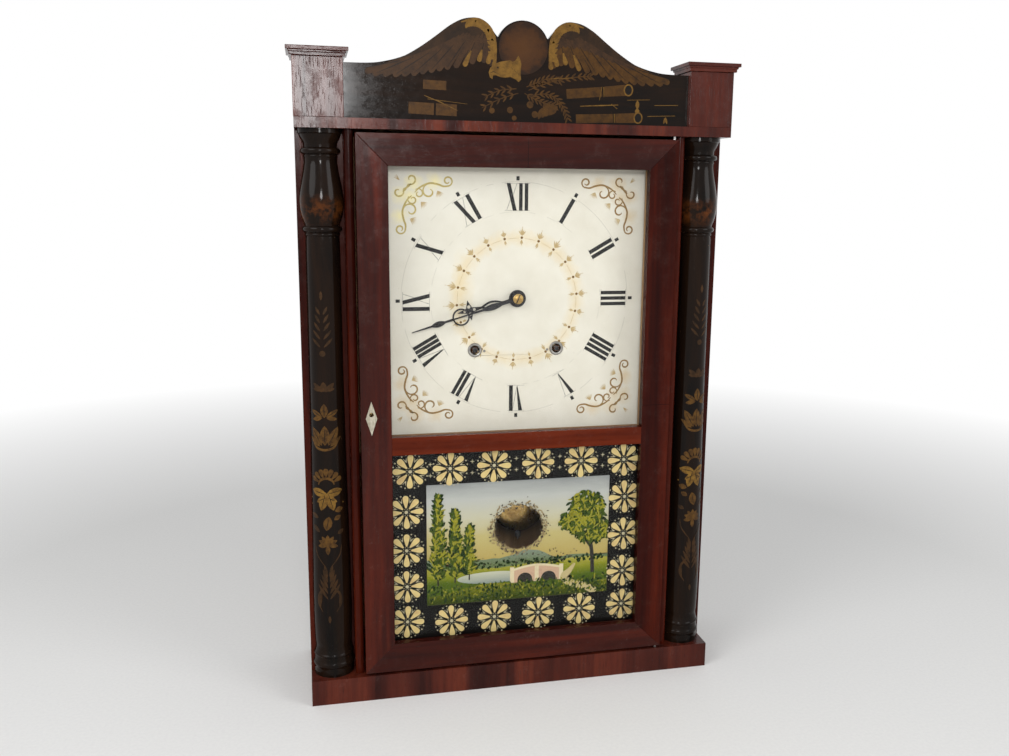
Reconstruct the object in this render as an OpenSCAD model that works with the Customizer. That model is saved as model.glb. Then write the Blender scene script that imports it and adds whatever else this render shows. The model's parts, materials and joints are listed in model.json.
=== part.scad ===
// Half-column shelf clock with a weight-driven wooden striking movement.
// Frame: +Z up, the front faces -Y, origin under the middle of the whole clock's box.
// Inside each module y = 0 is the front plane of the case, and angles on the dial run
// clockwise from twelve, so a point at angle a and radius r lies at [r sin a, r cos a].

/* [Case] */
// Width of the base and the top board
case_w = 432; // [400:1:480]
// Depth of the base and the top board
case_d = 127; // [112:1:160]
// Height of the base
base_h = 27; // [20:0.5:40]
// Clear height between the base and the top board
opening_h = 551.8; // [540:0.1:620]
// Thickness of the top board
top_t = 9.7; // [7:0.1:16]
// Thickness of the side boards
side_t = 10; // [6:0.5:14]
// Thickness of the back board
back_t = 8; // [5:0.5:12]
// Depth of the base's front rail
base_rail_d = 24; // [18:1:32]
// Thickness of the bottom board
floor_t = 12; // [8:0.5:16]

/* [Front of the case] */
// Width of each board behind a column
column_board_w = 45; // [42:0.5:56]
// Thickness of the boards behind the columns
column_board_t = 10; // [6:0.5:14]
// How far the column boards stand back from the front of the base
column_board_y = 25; // [24:0.5:32]
// Width of the rounded strips beside the door
bead_w = 9; // [6:0.2:12]
// How far the rounded strips stand back from the front of the base
bead_y = 8; // [6:0.5:14]
// Depth of the rounded strips
bead_d = 33; // [28:1:40]
// Height of the square blocks on the top corners
chimney_h = 53.7; // [40:0.1:70]
// Depth of the corner blocks
chimney_d = 38; // [30:1:48]
// How far the moulded caps stand out
cap_over = 5.2; // [3:0.1:8]
// Height of the moulded caps
cap_h = 8.3; // [6:0.1:12]

/* [Crest] */
// Height of the crest board at its ends
crest_end_h = 49.9; // [40:0.1:60]
// Height of the crest board at its two peaks
crest_peak_h = 94.7; // [80:0.1:110]
// Radius of the round middle of the crest
crest_disc_r = 26; // [20:0.5:30]
// Thickness of the crest board
crest_t = 9; // [6:0.5:14]
// How far the crest stands back from the front of the base
crest_y = 6; // [3:0.5:12]

/* [Half columns] */
// Radius of the shaft at its top
shaft_top_r = 16.6; // [13:0.1:18]
// Radius of the shaft near its foot
shaft_foot_r = 19.6; // [16:0.1:20.5]
// Radius of the vase above the shaft
vase_r = 21.1; // [18:0.1:21.5]
// Radius of the rings at the foot
foot_ring_r = 21.2; // [20.5:0.1:21.2]
// Distance of each column's axis from the inner edge of its board
column_axis = 21.4; // [21.4:0.1:23]
// Height of the vase, neck and cap above the shaft
vase_part_h = 101.3; // [80:0.1:120]

/* [Door] */
// Width of the door's stiles and its top and bottom rails
door_frame_w = 30.1; // [26:0.1:34]
// Thickness of the door
door_t = 18; // [15:0.5:20]
// How far the door stands out of the case front
door_proud = 0.7; // [0.2:0.1:2]
// Gap beside the door
door_gap = 1.2; // [0.8:0.1:2]
// Gap above and below the door
door_gap_z = 3.4; // [1.5:0.1:5]
// Height of the opening in front of the dial
dial_pane_h = 264.7; // [240:0.1:300]
// Width of the middle rail
middle_rail_w = 18.3; // [14:0.1:24]
// Thickness of the wood in front of the glass
glass_lip = 8.7; // [6:0.1:11]
// How far the glass runs in behind the wood
glass_lap = 5; // [3:0.5:8]
// Thickness of the glass
glass_t = 2; // [1.5:0.1:3]
// Diameter of the door's pivot pins
hinge_d = 3; // [2:0.1:4]
// Distance of the pivot pins from the door's right edge
hinge_edge = 4; // [3.6:0.1:5]
// Length of the escutcheon
escutcheon_h = 34.9; // [28:0.1:42]
// Width of the escutcheon
escutcheon_w = 11.2; // [8:0.1:14]
// Height of the escutcheon's middle above the base
escutcheon_z = 274.3; // [262:0.1:290]
// Travel of the lock bolt
bolt_throw = 5; // [3:0.5:6]

/* [Dial and hands] */
// Distance of the dial's centre below the top board
dial_drop = 163; // [158.5:0.1:180]
// Height of the dial board
dial_h = 314; // [270:1:318]
// Thickness of the dial board
dial_t = 6; // [4:0.5:8]
// Distance of each winding hole from the middle
wind_x = 43; // [42.9:0.1:46]
// Depth of the winding holes below the dial's centre
wind_drop = 52.8; // [52:0.1:56]
// Length of the minute hand
minute_l = 113; // [100:1:116]
// Length of the hour hand
hour_l = 64; // [58:1:74]
// Angle of the minute hand, clockwise from twelve
minute_angle = 253.3; // [0:0.1:360]
// Angle of the hour hand, clockwise from twelve
hour_angle = 257; // [0:0.1:360]
// Thickness of the hands
hand_t = 0.9; // [0.6:0.1:1.4]

/* [Movement] */
// Width of the movement plates
plate_w = 168; // [168:1:180]
// Thickness of the movement plates
plate_t = 6; // [4:0.5:7]
// Height of the plates above the dial's centre
plate_above = 80; // [76:1:84]
// Depth of the plates below the dial's centre
plate_below = 128; // [124:1:150]
// Thickness of the battens between the movement and the back board
batten_t = 5; // [3:0.5:12]
// Clear distance between the plates
plate_gap = 38; // [37.5:0.1:39]
// Running clearance round every arbor
run_gap = 0.07; // [0.03:0.01:0.1]
// Tooth size of the great wheels
great_m = 1.7; // [1.6:0.01:1.72]
// Tooth size of the second wheel and the pin wheel
second_m = 1.14; // [1.1:0.01:1.18]
// Tooth size of the third wheel and the warning wheel
third_m = 1.1; // [1.05:0.01:1.12]
// Thickness of the train wheels
wheel_t = 3; // [2.5:0.1:4]
// Radius of the escape wheel
escape_r = 20; // [18:0.5:21]
// Number of escape wheel teeth
escape_n = 40; // [36:1:44]
// Radius of the wooden winding drums
drum_r = 12; // [10:0.5:13]
// Width of the winding drums
drum_w = 17; // [14:0.5:17.5]

/* [Pendulum] */
// Sideways place of the pendulum, clear of the hands' pipe
pendulum_x = 9; // [8:0.5:12]
// Height of the pendulum's pivot above the dial's centre
pivot_rise = 58.2; // [56:0.1:62]
// Length from the pivot to the middle of the bob
pendulum_l = 287; // [270:1:300]
// Diameter of the bob
bob_d = 58; // [50:1:64]
// Thickness of the bob
bob_t = 13; // [9:0.5:13]
// Thickness of the pendulum rod
rod_d = 1.8; // [1.4:0.1:2.2]
// Thickness of the pivot stud
stud_d = 3; // [2.4:0.1:3.6]

/* [Weights and bell] */
// Diameter of the driving weights
weight_d = 54; // [44:1:58]
// Height of the driving weights
weight_h = 100; // [80:1:120]
// Diameter of the weight cords
cord_d = 2.4; // [1.6:0.1:2.8]
// Gap between each weight and its side board
weight_gap = 14; // [8:1:20]
// Radius of the cord's path round the pulleys
pulley_r = 15; // [12:0.5:16]
// Radius of the bell
bell_r = 34; // [28:0.5:34]
// Thickness of the bell's wall
bell_t = 2; // [1.4:0.1:2.6]

/* [Hidden] */
$fn = 48;

// Colours
mahogany = [0.30, 0.07, 0.04];
lacquer = [0.09, 0.06, 0.05];
pine = [0.62, 0.44, 0.27];
cherry = [0.55, 0.30, 0.16];
brass = [0.78, 0.60, 0.28];
steel = [0.30, 0.30, 0.32];
iron = [0.16, 0.16, 0.17];
ivory = [0.88, 0.86, 0.80];
hemp = [0.60, 0.52, 0.36];

// Case, worked out from the sizes above
seat = 0.02;
front_y = (cap_over - case_d) / 2;
half_w = case_w / 2;
top_z = base_h + opening_h;
crest_z = top_z + top_t;
back_y = case_d - back_t;
board_in = half_w - column_board_w;
bead_in = board_in - bead_w;
inside_w = half_w - side_t;
chimney_w = column_board_w + 0.9;
chimney_out = half_w + 0.2;
chimney_in = chimney_out - chimney_w;

// Door
door_half = bead_in - door_gap;
door_y = -door_proud;
door_bottom = base_h + door_gap_z;
door_top = top_z - door_gap_z;
pane_half = door_half - door_frame_w;
pane_bottom = door_bottom + door_frame_w;
pane_top = door_top - door_frame_w;
mid_high = pane_top - dial_pane_h;
mid_low = mid_high - middle_rail_w;
glass_y = door_y + glass_lip;
glass_gap = 0.4;
hinge_x = door_half - hinge_edge;
hinge_y = door_y + 4.5;
hinge_pin_l = 14;
pin_gap = 0.06;
lock_z = base_h + escutcheon_z;
escutcheon_x = -door_half + 10.4;
escutcheon_t = 1.2;
keyhole_r = 2.2;
keyhole_rise = 3.8;
lock_w = 20;
lock_h = 32;
lock_t = 7;
bolt_h = 8;
bolt_t = 3;
bolt_l = 15;
bolt_gap = 0.3;
lock_y = door_y + door_t - lock_t;
bolt_y = lock_y + (lock_t - bolt_t) / 2;

// Dial
dial_cz = top_z - dial_drop;
dial_y = column_board_y;
dial_gap = 1.5;
dial_half = bead_in - dial_gap;
dial_top_gap = 6;
dial_bottom = top_z - dial_top_gap - dial_h;
centre_hole_r = 7;
eyelet_hole_r = 6;
eyelet_wall = 0.7;
eyelet_flange_r = 6.6;
eyelet_t = 0.8;
cleat_w = 12;
wind_z = dial_cz - wind_drop;

// Movement plates
plate_y = back_y - batten_t - 2 * plate_t - plate_gap;
back_plate_y = plate_y + plate_t + plate_gap;
inner_y = plate_y + plate_t;
plate_low = dial_cz - plate_below;
plate_high = dial_cz + plate_above;
pillar_x = plate_w / 2 - 11;
pillar_r = 6;
tenon_r = 3.5;
tenon_out = 3.5;
pillar_low = plate_low + 11;
pillar_high = plate_high - 9;
batten_h = 18;
batten_half = plate_w / 2 + 16;
pivot_r = 1.2;
arbor_r = 3;
wind_arbor_r = 4;
square_w = 5.4;

// Wheel teeth: [teeth of the great wheel, its pinion, and so on up each train]
great_n = 48;
great_pinion = 8;
second_n = 63;
pin_n = 60;
third_pinion = 6;
third_n = 56;
escape_pinion = 7;
report_n = 48;
count_n = 78;
count_m = 0.9;
motion_n = 24;
motion_m = 1.2;
motion_pinion = 6;
hour_n = 72;

// Levels of the wheels, from the case front
great_y = inner_y + 2;
great_t = 5;
ratchet_t = 1.8;
drum_y = great_y + great_t + ratchet_t + 0.6;
second_y = inner_y + 30.5;
third_y = inner_y + 15.5;
escape_y = inner_y + 23.5;
minute_wheel_y = plate_y - 5;
hour_wheel_y = plate_y - 10;
cord_y = drum_y + drum_w / 2;

// Distances between meshing arbors
function mesh_d(na, nb, m) = (na + nb) * m / 2;
// Corner of a triangle on p and q at distances a and b, on the left of the way from p to q
function apex(p, q, a, b) =
    let (d = norm(q - p), u = (q - p) / d, s = (a * a - b * b + d * d) / (2 * d),
         h = sqrt(max(0, a * a - s * s)))
    p + s * u + h * [-u[1], u[0]];
// Clock angle of the way from p to q
function way(p, q) = atan2(q[0] - p[0], q[1] - p[1]);
// Turn of a gear of nb teeth that meshes with one of na teeth turned by ta, along the way w
function mesh_turn(na, ta, nb, w) = w + 180 + 180 / nb + (w - ta) * na / nb;
function at(p, r, a) = p + r * [sin(a), cos(a)];

count_way = 157;
hammer_way = 110;
hammer_reach = 44.5;
centre = [0, dial_cz];
time_p = [wind_x, wind_z];
strike_p = [-wind_x, wind_z];
pivot_p = [pendulum_x, dial_cz + pivot_rise];
pallet_d = escape_r + 9;
escape_p = pivot_p - [0, pallet_d];
cannon_d = 48;
hour_m = 2 * mesh_d(motion_n, motion_n, motion_m) / (motion_pinion + hour_n);
second_p = apex(centre, time_p, cannon_d, mesh_d(great_n, great_pinion, great_m));
third_p = apex(escape_p, second_p, mesh_d(third_n, escape_pinion, third_m),
    mesh_d(second_n, third_pinion, second_m));
motion_p = apex(second_p, centre, mesh_d(motion_n, motion_n, motion_m),
    mesh_d(motion_n, motion_n, motion_m));
pin_p = [-second_p[0], second_p[1]];
warning_p = at(pin_p, mesh_d(pin_n, third_pinion, second_m), -3);
fly_p = at(warning_p, mesh_d(third_n, escape_pinion, third_m), 30);
count_p = at(strike_p, mesh_d(report_n, count_n, count_m), count_way);
hammer_p = at(pin_p, hammer_reach, hammer_way);

// Turns of the wheels, so that every pair is in mesh
second_turn = mesh_turn(great_n, 0, great_pinion, way(time_p, second_p));
third_turn = mesh_turn(second_n, 0, third_pinion, way(second_p, third_p));
escape_turn = mesh_turn(third_n, 0, escape_pinion, way(third_p, escape_p));
pin_turn = mesh_turn(great_n, 0, great_pinion, way(strike_p, pin_p));
warning_turn = mesh_turn(pin_n, 0, third_pinion, way(pin_p, warning_p));
fly_turn = mesh_turn(third_n, 0, escape_pinion, way(warning_p, fly_p));
count_turn = mesh_turn(report_n, 0, count_n, way(strike_p, count_p));
motion_turn = mesh_turn(motion_n, 0, motion_n, way(second_p, motion_p));
minute_turn = mesh_turn(motion_n, motion_turn, motion_n, way(motion_p, centre));
hour_turn = mesh_turn(motion_pinion, 0, hour_n, way(motion_p, centre));

// Pipes and hands
stud_r = 1.5;
motion_stud_r = 0.9;
minute_pipe_r = 3.2;
hour_pipe_r = 4.6;
minute_hand_y = dial_y - 9;
hour_hand_y = dial_y - 5.5;
stud_front = minute_hand_y - 1;

// Escapement
pallet_half = 22;
pallet_t = 0.6;
pallet_y = escape_y - 1;
pallet_w = 5;

// Pendulum, crutch and cock
bob_z = pivot_p[1] - pendulum_l;
rod_y = plate_y - 17;
bob_y = rod_y - bob_t / 2;
eye_r = stud_d / 2 + 1.6;
crutch_y = plate_y - 3.2;
crutch_r = 0.8;
crutch_drop = 24;
cock_y = rod_y + 6;
cock_t = 3;
bob_hole_gap = 0.05;

// Cords, pulleys and weights
pulley_z = top_z + top_t / 2;
pulley_rim = 3;
pulley_w = 9;
slot_w = 2 * (pulley_r + pulley_rim + 1.6);
slot_d = 13;
pulley_pin_r = 1.2;
pulley_pin_l = 22;
weight_x = inside_w - weight_gap - weight_d / 2;
pulley_x = weight_x - pulley_r;
cord_r = cord_d / 2;
wrap_r = drum_r + cord_r;
weight_top = pulley_z - 44;
hook_h = 12;
hook_r = 4;
hook_wire = 1.4;

// Bell
bell_x = -49;
bell_rise = 38;
bell_z = plate_high + bell_rise;
bell_depth = 24;
bell_y = back_plate_y - 28;
bell_stud_r = 2.5;
hammer_r = 5;
head_l = 9;
tail_w = 3.2;
tail_l = 20;
pin_circle_r = 26;
pin_l = 8;
lift_pin_r = 1.3;
count_hole_ring_r = 20;
count_hole_r = 5;
hammer_gap = 2;
hammer_y = back_plate_y - 2;
hammer_rod_r = 0.9;
tail_y = second_y - 5;

// Shared shapes
module place() translate([0, front_y, 0]) children();
module box(x0, x1, y0, y1, z0, z1) translate([x0, y0, z0]) cube([x1 - x0, y1 - y0, z1 - z0]);
module both_sides() {
    children();
    mirror([1, 0, 0]) children();
}
// Extrudes an outline that is drawn as seen from the front, from y to y + t
module face_on(y, t) translate([0, y + t, 0]) rotate([90, 0, 0]) linear_extrude(t) children();
module rod(p, y0, y1, r) translate([p[0], y0, p[1]]) rotate([-90, 0, 0]) cylinder(h = y1 - y0, r = r);
module bore(p, y0, y1, r) rod(p, y0 - 0.5, y1 + 0.5, r);
// Outline through the points of a smooth curve
function spline(p, steps) = [for (i = [1 : len(p) - 3]) for (k = [0 : steps - 1])
    let (t = k / steps, a = p[i - 1], b = p[i], c = p[i + 1], d = p[i + 2])
    0.5 * (2 * b + (c - a) * t + (2 * a - 5 * b + 4 * c - d) * t * t
        + (3 * b - a - 3 * c + d) * t * t * t)];
// Toothed outline: a wheel has broad teeth, a pinion narrow leaves
function teeth(n, m, add, ded, root, mid, tip) = [for (i = [0 : n - 1])
    for (q = [[-root, n * m / 2 - ded * m], [-mid, n * m / 2], [-tip, n * m / 2 + add * m],
        [tip, n * m / 2 + add * m], [mid, n * m / 2], [root, n * m / 2 - ded * m]])
    let (a = (i + q[0]) * 360 / n) q[1] * [sin(a), cos(a)]];
module wheel(p, y, t, n, m, turn) face_on(y, t) translate(p) rotate(-turn)
    polygon(teeth(n, m, 0.85, 1.15, 0.28, 0.22, 0.09));
module pinion(p, y, t, n, m, turn) face_on(y, t) translate(p) rotate(-turn)
    polygon(teeth(n, m, 0.6, 1.25, 0.19, 0.17, 0.10));
// Arbor with thin pivots that run in both plates
module arbor(p, r) {
    rod(p, inner_y + 0.4, back_plate_y - 0.4, r);
    rod(p, plate_y + 1, back_plate_y + plate_t - 1, pivot_r);
}

// Case
module base_rail() color(mahogany) place() difference() {
    box(-half_w, half_w, 0, base_rail_d, 0, base_h);
    translate([hinge_x, hinge_y, base_h - hinge_pin_l / 2])
        cylinder(h = hinge_pin_l, r = hinge_d / 2 + seat);
}

module base_boards() color(pine) place() {
    both_sides() box(half_w - 2 * side_t, half_w, base_rail_d, case_d, 0, base_h);
    box(-half_w + 2 * side_t, half_w - 2 * side_t, base_rail_d, case_d, base_h - floor_t, base_h);
}

module side_boards() color(mahogany) place() both_sides()
    box(inside_w, half_w, column_board_y + column_board_t, back_y, base_h, top_z);

module back_board() color(pine) place() box(-half_w, half_w, back_y, case_d, base_h, top_z);

module top_board() color(mahogany) place() difference() {
    box(-half_w, half_w, 0, case_d, top_z, crest_z);
    both_sides() {
        box(pulley_x - slot_w / 2, pulley_x + slot_w / 2, cord_y - slot_d / 2, cord_y + slot_d / 2,
            top_z - 1, crest_z + 1);
        bore([pulley_x, pulley_z], cord_y - pulley_pin_l / 2, cord_y + pulley_pin_l / 2,
            pulley_pin_r + run_gap);
    }
    translate([hinge_x, hinge_y, top_z - hinge_pin_l / 2])
        cylinder(h = hinge_pin_l, r = hinge_d / 2 + seat);
}

module column_boards() color(mahogany) place() both_sides()
    box(board_in, half_w, column_board_y, column_board_y + column_board_t, base_h, top_z);

module bead_strips() color(mahogany) place() {
    bolt_pocket = bolt_throw + 1;
    difference() {
        both_sides() translate([0, 0, base_h]) linear_extrude(opening_h) {
            translate([bead_in + bead_w / 2, bead_y + bead_w / 2]) circle(d = bead_w);
            translate([bead_in, bead_y + bead_w / 2]) square([bead_w, bead_d - bead_w / 2]);
        }
        box(-bead_in - bolt_pocket, -bead_in + 1, bolt_y - 1, bolt_y + bolt_t + 1,
            lock_z - bolt_h / 2 - 1, lock_z + bolt_h / 2 + 1);
    }
}

// Half column: [height, radius] points run up from the base, with round beads between
module column_outline() {
    foot_bead = 5;
    neck_bead = 3.2;
    shaft_h = opening_h - vase_part_h;
    ring_z = shaft_h + vase_part_h * 0.08;
    vase_z = shaft_h + vase_part_h * 0.342;
    neck_z = shaft_h + vase_part_h * 0.717;
    cap_z = shaft_h + vase_part_h * 0.865;
    foot_z = 30;
    middle = (shaft_h + foot_z) / 2;
    vase_foot_r = shaft_top_r + 0.4;
    neck_r = shaft_top_r - 1;
    swell = [[0, 0], [foot_ring_r - 0.8, 0], [foot_ring_r - 0.8, 7]];
    foot = spline([[shaft_foot_r + 1.6, foot_z - 8], [shaft_foot_r + 0.4, foot_z - 6.5],
        [shaft_foot_r - 1, foot_z + 1], [shaft_foot_r - 0.4, foot_z + 11], [shaft_foot_r, shaft_h * 0.19],
        [shaft_foot_r - 1.4, middle - shaft_h * 0.11], [shaft_top_r + 0.5, middle + shaft_h * 0.12],
        [shaft_top_r + 0.1, shaft_h - 16], [shaft_top_r - 0.7, shaft_h],
        [shaft_top_r - 0.7, shaft_h + 1]], 4);
    belly = vase_z - ring_z;
    slope = neck_z - vase_z;
    vase = spline([[vase_foot_r, ring_z + 1], [vase_foot_r, ring_z + 4],
        [vase_foot_r + 1.4, ring_z + belly * 0.3],
        [vase_r - 0.9, vase_z - belly * 0.42], [vase_r, vase_z], [vase_r - 1.3, vase_z + slope * 0.32],
        [neck_r + 1.6, vase_z + slope * 0.71], [neck_r, neck_z], [neck_r, neck_z + 1]], 4);
    cap = spline([[neck_r + 0.4, cap_z - 6], [neck_r + 0.4, cap_z - 1], [neck_r + 0.8, cap_z + 1],
        [neck_r + 3.2, (cap_z + opening_h) / 2 - 1], [vase_r - 1.1, opening_h - 4],
        [vase_r - 1.1, opening_h - 3]], 4);
    polygon(concat(swell, foot, vase, cap, [[vase_r - 0.2, opening_h - 4], [vase_r - 0.2, opening_h],
        [0, opening_h]]));
    column_bead(foot_ring_r, 7 + foot_bead, foot_bead);
    column_bead(shaft_foot_r + 1, foot_z - 7.5, 2);
    column_bead(shaft_top_r + 0.4, shaft_h + 3, 1.8);
    column_bead(vase_r - 1.9, ring_z, neck_bead);
    column_bead(shaft_top_r - 0.2, neck_z + 3.6, 1.8);
    column_bead(vase_r - 2.1, cap_z - 6.4, neck_bead);
}
module column_bead(r, z, half_h) {
    translate([r - half_h, z]) intersection() {
        circle(r = half_h);
        translate([0, -half_h]) square([half_h, 2 * half_h]);
    }
    translate([0, z - half_h]) square([r - half_h, 2 * half_h]);
}
module columns() color(lacquer) place() both_sides()
    translate([board_in + column_axis, column_board_y, base_h]) rotate([0, 0, 180])
    rotate_extrude(angle = 180) column_outline();

module chimneys() color(mahogany) place() both_sides()
    box(chimney_in, chimney_out, 0, chimney_d, crest_z, crest_z + chimney_h);

// Caps: a mitred moulding, given as steps out from the block on all four sides
module chimney_caps() color(mahogany) place() both_sides() {
    low = crest_z + chimney_h;
    lower_h = cap_h * 0.36;
    cove_h = cap_h * 0.22;
    lower_out = cap_over * 0.42;
    middle_out = cap_over * 0.62;
    cap_step(lower_out, low, lower_h);
    cap_step(middle_out, low + lower_h, cove_h);
    cap_step(cap_over, low + lower_h + cove_h, cap_h - lower_h - cove_h);
}
module cap_step(out, z, h)
    box(chimney_in - out, chimney_out + out, -out, chimney_d + out, z, z + h);

// Crest: a scrolled board with two peaks and a round middle
module crest() color(lacquer) place() {
    end_x = chimney_in;
    notch = [crest_disc_r - 1, crest_peak_h - 16];
    rise = crest_peak_h - crest_end_h;
    span = end_x - notch[0];
    // Top edge of one wing: [share of the span from its end, share of the rise]
    edge = [[-0.07, 0], [0, 0], [0.145, 0.007], [0.241, 0.04], [0.365, 0.145], [0.496, 0.335],
        [0.626, 0.6], [0.75, 0.91], [0.826, 1], [0.888, 0.98], [0.95, 0.826]];
    wing = spline(concat([for (q = edge) [end_x - q[0] * span, crest_end_h + q[1] * rise]],
        [notch, notch - [8, 10]]), 4);
    face_on(crest_y, crest_t) translate([0, crest_z]) {
        both_sides_flat() polygon(concat([[-1, 0], [end_x, 0]], wing, [notch, [-1, notch[1]]]));
        translate([0, crest_peak_h - 0.3 - crest_disc_r]) circle(r = crest_disc_r);
    }
}
module both_sides_flat() {
    children();
    mirror([1, 0]) children();
}

// Cleats inside the case: two behind the dial, two that carry the movement
module inner_cleats() color(pine) place() {
    both_sides() box(bead_in - cleat_w, bead_in, dial_y + dial_t, bead_y + bead_d, dial_bottom,
        dial_bottom + dial_h);
    for (z = [plate_low + 8, plate_high - 8 - batten_h])
        box(-batten_half, batten_half, back_plate_y + plate_t, back_y, z, z + batten_h);
}

// Dial
module dial() color(ivory) place() difference() {
    box(-dial_half, dial_half, dial_y, dial_y + dial_t, dial_bottom, dial_bottom + dial_h);
    bore(centre, dial_y, dial_y + dial_t, centre_hole_r);
    bore(time_p, dial_y, dial_y + dial_t, eyelet_hole_r);
    bore(strike_p, dial_y, dial_y + dial_t, eyelet_hole_r);
}

module winding_eyelets() color(steel) place() for (p = [time_p, strike_p]) difference() {
    union() {
        rod(p, dial_y - eyelet_t, dial_y, eyelet_flange_r);
        rod(p, dial_y - eyelet_t, dial_y + dial_t, eyelet_hole_r - seat);
    }
    bore(p, dial_y - eyelet_t, dial_y + dial_t, eyelet_hole_r - eyelet_wall);
}

// Door: mitred frame with a rebate for the glass at the back
module stile_outline(half) polygon([[door_half, door_bottom], [door_half, door_top],
    [half, door_top - door_half + half], [half, door_bottom + door_half - half]]);
module rail_outline(low, edge) polygon([[-door_half, edge], [door_half, edge],
    [pane_half, low], [-pane_half, low]]);
module stile_body() {
    face_on(door_y, glass_lip) stile_outline(pane_half);
    face_on(glass_y, door_t - glass_lip) stile_outline(pane_half + glass_lap);
}
module hinge_bores() {
    for (z = [door_bottom - 1, door_top - hinge_pin_l / 2 + 1])
        translate([hinge_x, hinge_y, z]) cylinder(h = hinge_pin_l / 2, r = hinge_d / 2 + pin_gap);
}

module door_left_stile() color(mahogany) place() difference() {
    mirror([1, 0, 0]) stile_body();
    face_on(door_y - 0.01, escutcheon_t + 0.01) escutcheon_outline(seat);
    rod([escutcheon_x, lock_z + keyhole_rise], door_y - 1, door_y + door_t + 1, keyhole_r);
    box(-door_half - 1, -door_half + lock_w + seat, lock_y - seat, door_y + door_t + 1,
        lock_z - lock_h / 2 - seat, lock_z + lock_h / 2 + seat);
}

module door_right_stile() color(mahogany) place() difference() {
    stile_body();
    hinge_bores();
}

module door_top_rail() color(mahogany) place() difference() {
    union() {
        face_on(door_y, glass_lip) rail_outline(pane_top, door_top);
        face_on(glass_y, door_t - glass_lip)
            polygon([[-door_half, door_top], [door_half, door_top],
                [pane_half + glass_lap, pane_top + glass_lap],
                [-pane_half - glass_lap, pane_top + glass_lap]]);
    }
    hinge_bores();
}

module door_bottom_rail() color(mahogany) place() difference() {
    union() {
        face_on(door_y, glass_lip) rail_outline(pane_bottom, door_bottom);
        face_on(glass_y, door_t - glass_lip)
            polygon([[-door_half, door_bottom], [door_half, door_bottom],
                [pane_half + glass_lap, pane_bottom - glass_lap],
                [-pane_half - glass_lap, pane_bottom - glass_lap]]);
    }
    hinge_bores();
}

module door_middle_rail() color(mahogany) place() {
    box(-pane_half, pane_half, door_y, glass_y, mid_low, mid_high);
    box(-pane_half - glass_lap, pane_half + glass_lap, glass_y, door_y + door_t, mid_low + glass_lap,
        mid_high - glass_lap);
}

module pane(low, high) box(-pane_half - glass_lap + glass_gap, pane_half + glass_lap - glass_gap,
    glass_y, glass_y + glass_t, low - glass_lap + glass_gap, high + glass_lap - glass_gap);
module dial_glass() color(ivory, 0.3) place() pane(mid_high, pane_top);
module tablet_glass() color(iron, 0.5) place() pane(pane_bottom, mid_low);

module escutcheon_outline(gap) translate([escutcheon_x, lock_z])
    polygon([[0, escutcheon_h / 2 + gap], [escutcheon_w / 2 + gap, 0], [0, -escutcheon_h / 2 - gap],
        [-escutcheon_w / 2 - gap, 0]]);
module escutcheon() color(ivory) place() difference() {
    face_on(door_y, escutcheon_t) escutcheon_outline(0);
    bore([escutcheon_x, lock_z + keyhole_rise], door_y, door_y + escutcheon_t, keyhole_r);
}

module lock_case() color(steel) place() difference() {
    box(-door_half, -door_half + lock_w, lock_y, door_y + door_t, lock_z - lock_h / 2, lock_z + lock_h / 2);
    box(-door_half - 1, -door_half + bolt_l + bolt_gap, bolt_y - bolt_gap, bolt_y + bolt_t + bolt_gap,
        lock_z - bolt_h / 2 - bolt_gap, lock_z + bolt_h / 2 + bolt_gap);
    rod([escutcheon_x, lock_z + keyhole_rise], lock_y - 1, bolt_y, keyhole_r);
}

module lock_bolt() color(brass) place() difference() {
    box(-door_half, -door_half + bolt_l, bolt_y, bolt_y + bolt_t, lock_z - bolt_h / 2, lock_z + bolt_h / 2);
    box(escutcheon_x - keyhole_r, escutcheon_x + keyhole_r, bolt_y - 1, bolt_y + bolt_t + 1,
        lock_z - bolt_h / 2 - 1, lock_z - bolt_h / 2 + 3);
}

module hinge_pins() color(steel) place() for (z = [base_h, top_z])
    translate([hinge_x, hinge_y, z - hinge_pin_l / 2 + 0.4 * (z == base_h ? 1 : -1)])
        cylinder(h = hinge_pin_l - 0.8, r = hinge_d / 2);

// Movement plates and pillars
module plate_board(y) box(-plate_w / 2, plate_w / 2, y, y + plate_t, plate_low, plate_high);
module pillar_bores(y) for (x = [-pillar_x, pillar_x]) for (z = [pillar_low, pillar_high])
    bore([x, z], y, y + plate_t, tenon_r + seat);
module pivot_bores(y) for (p = [third_p, escape_p, pin_p, warning_p, fly_p, hammer_p])
    bore(p, y, y + plate_t, pivot_r + run_gap);

module front_plate() color(cherry) place() difference() {
    plate_board(plate_y);
    pillar_bores(plate_y);
    pivot_bores(plate_y);
    bore(time_p, plate_y, inner_y, wind_arbor_r + run_gap);
    bore(strike_p, plate_y, inner_y, 6.5 + run_gap);
    bore(second_p, plate_y, inner_y, 2 + run_gap);
    bore(pivot_p, plate_y, inner_y, 2 + run_gap);
    for (p = [centre, count_p]) bore(p, plate_y, inner_y, stud_r + seat);
    bore(motion_p, plate_y, inner_y, motion_stud_r + seat);
}

module back_plate() color(cherry) place() difference() {
    plate_board(back_plate_y);
    pillar_bores(back_plate_y);
    pivot_bores(back_plate_y);
    for (p = [time_p, strike_p, second_p, pivot_p])
        bore(p, back_plate_y, back_plate_y + plate_t, pivot_r + run_gap);
}

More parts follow.
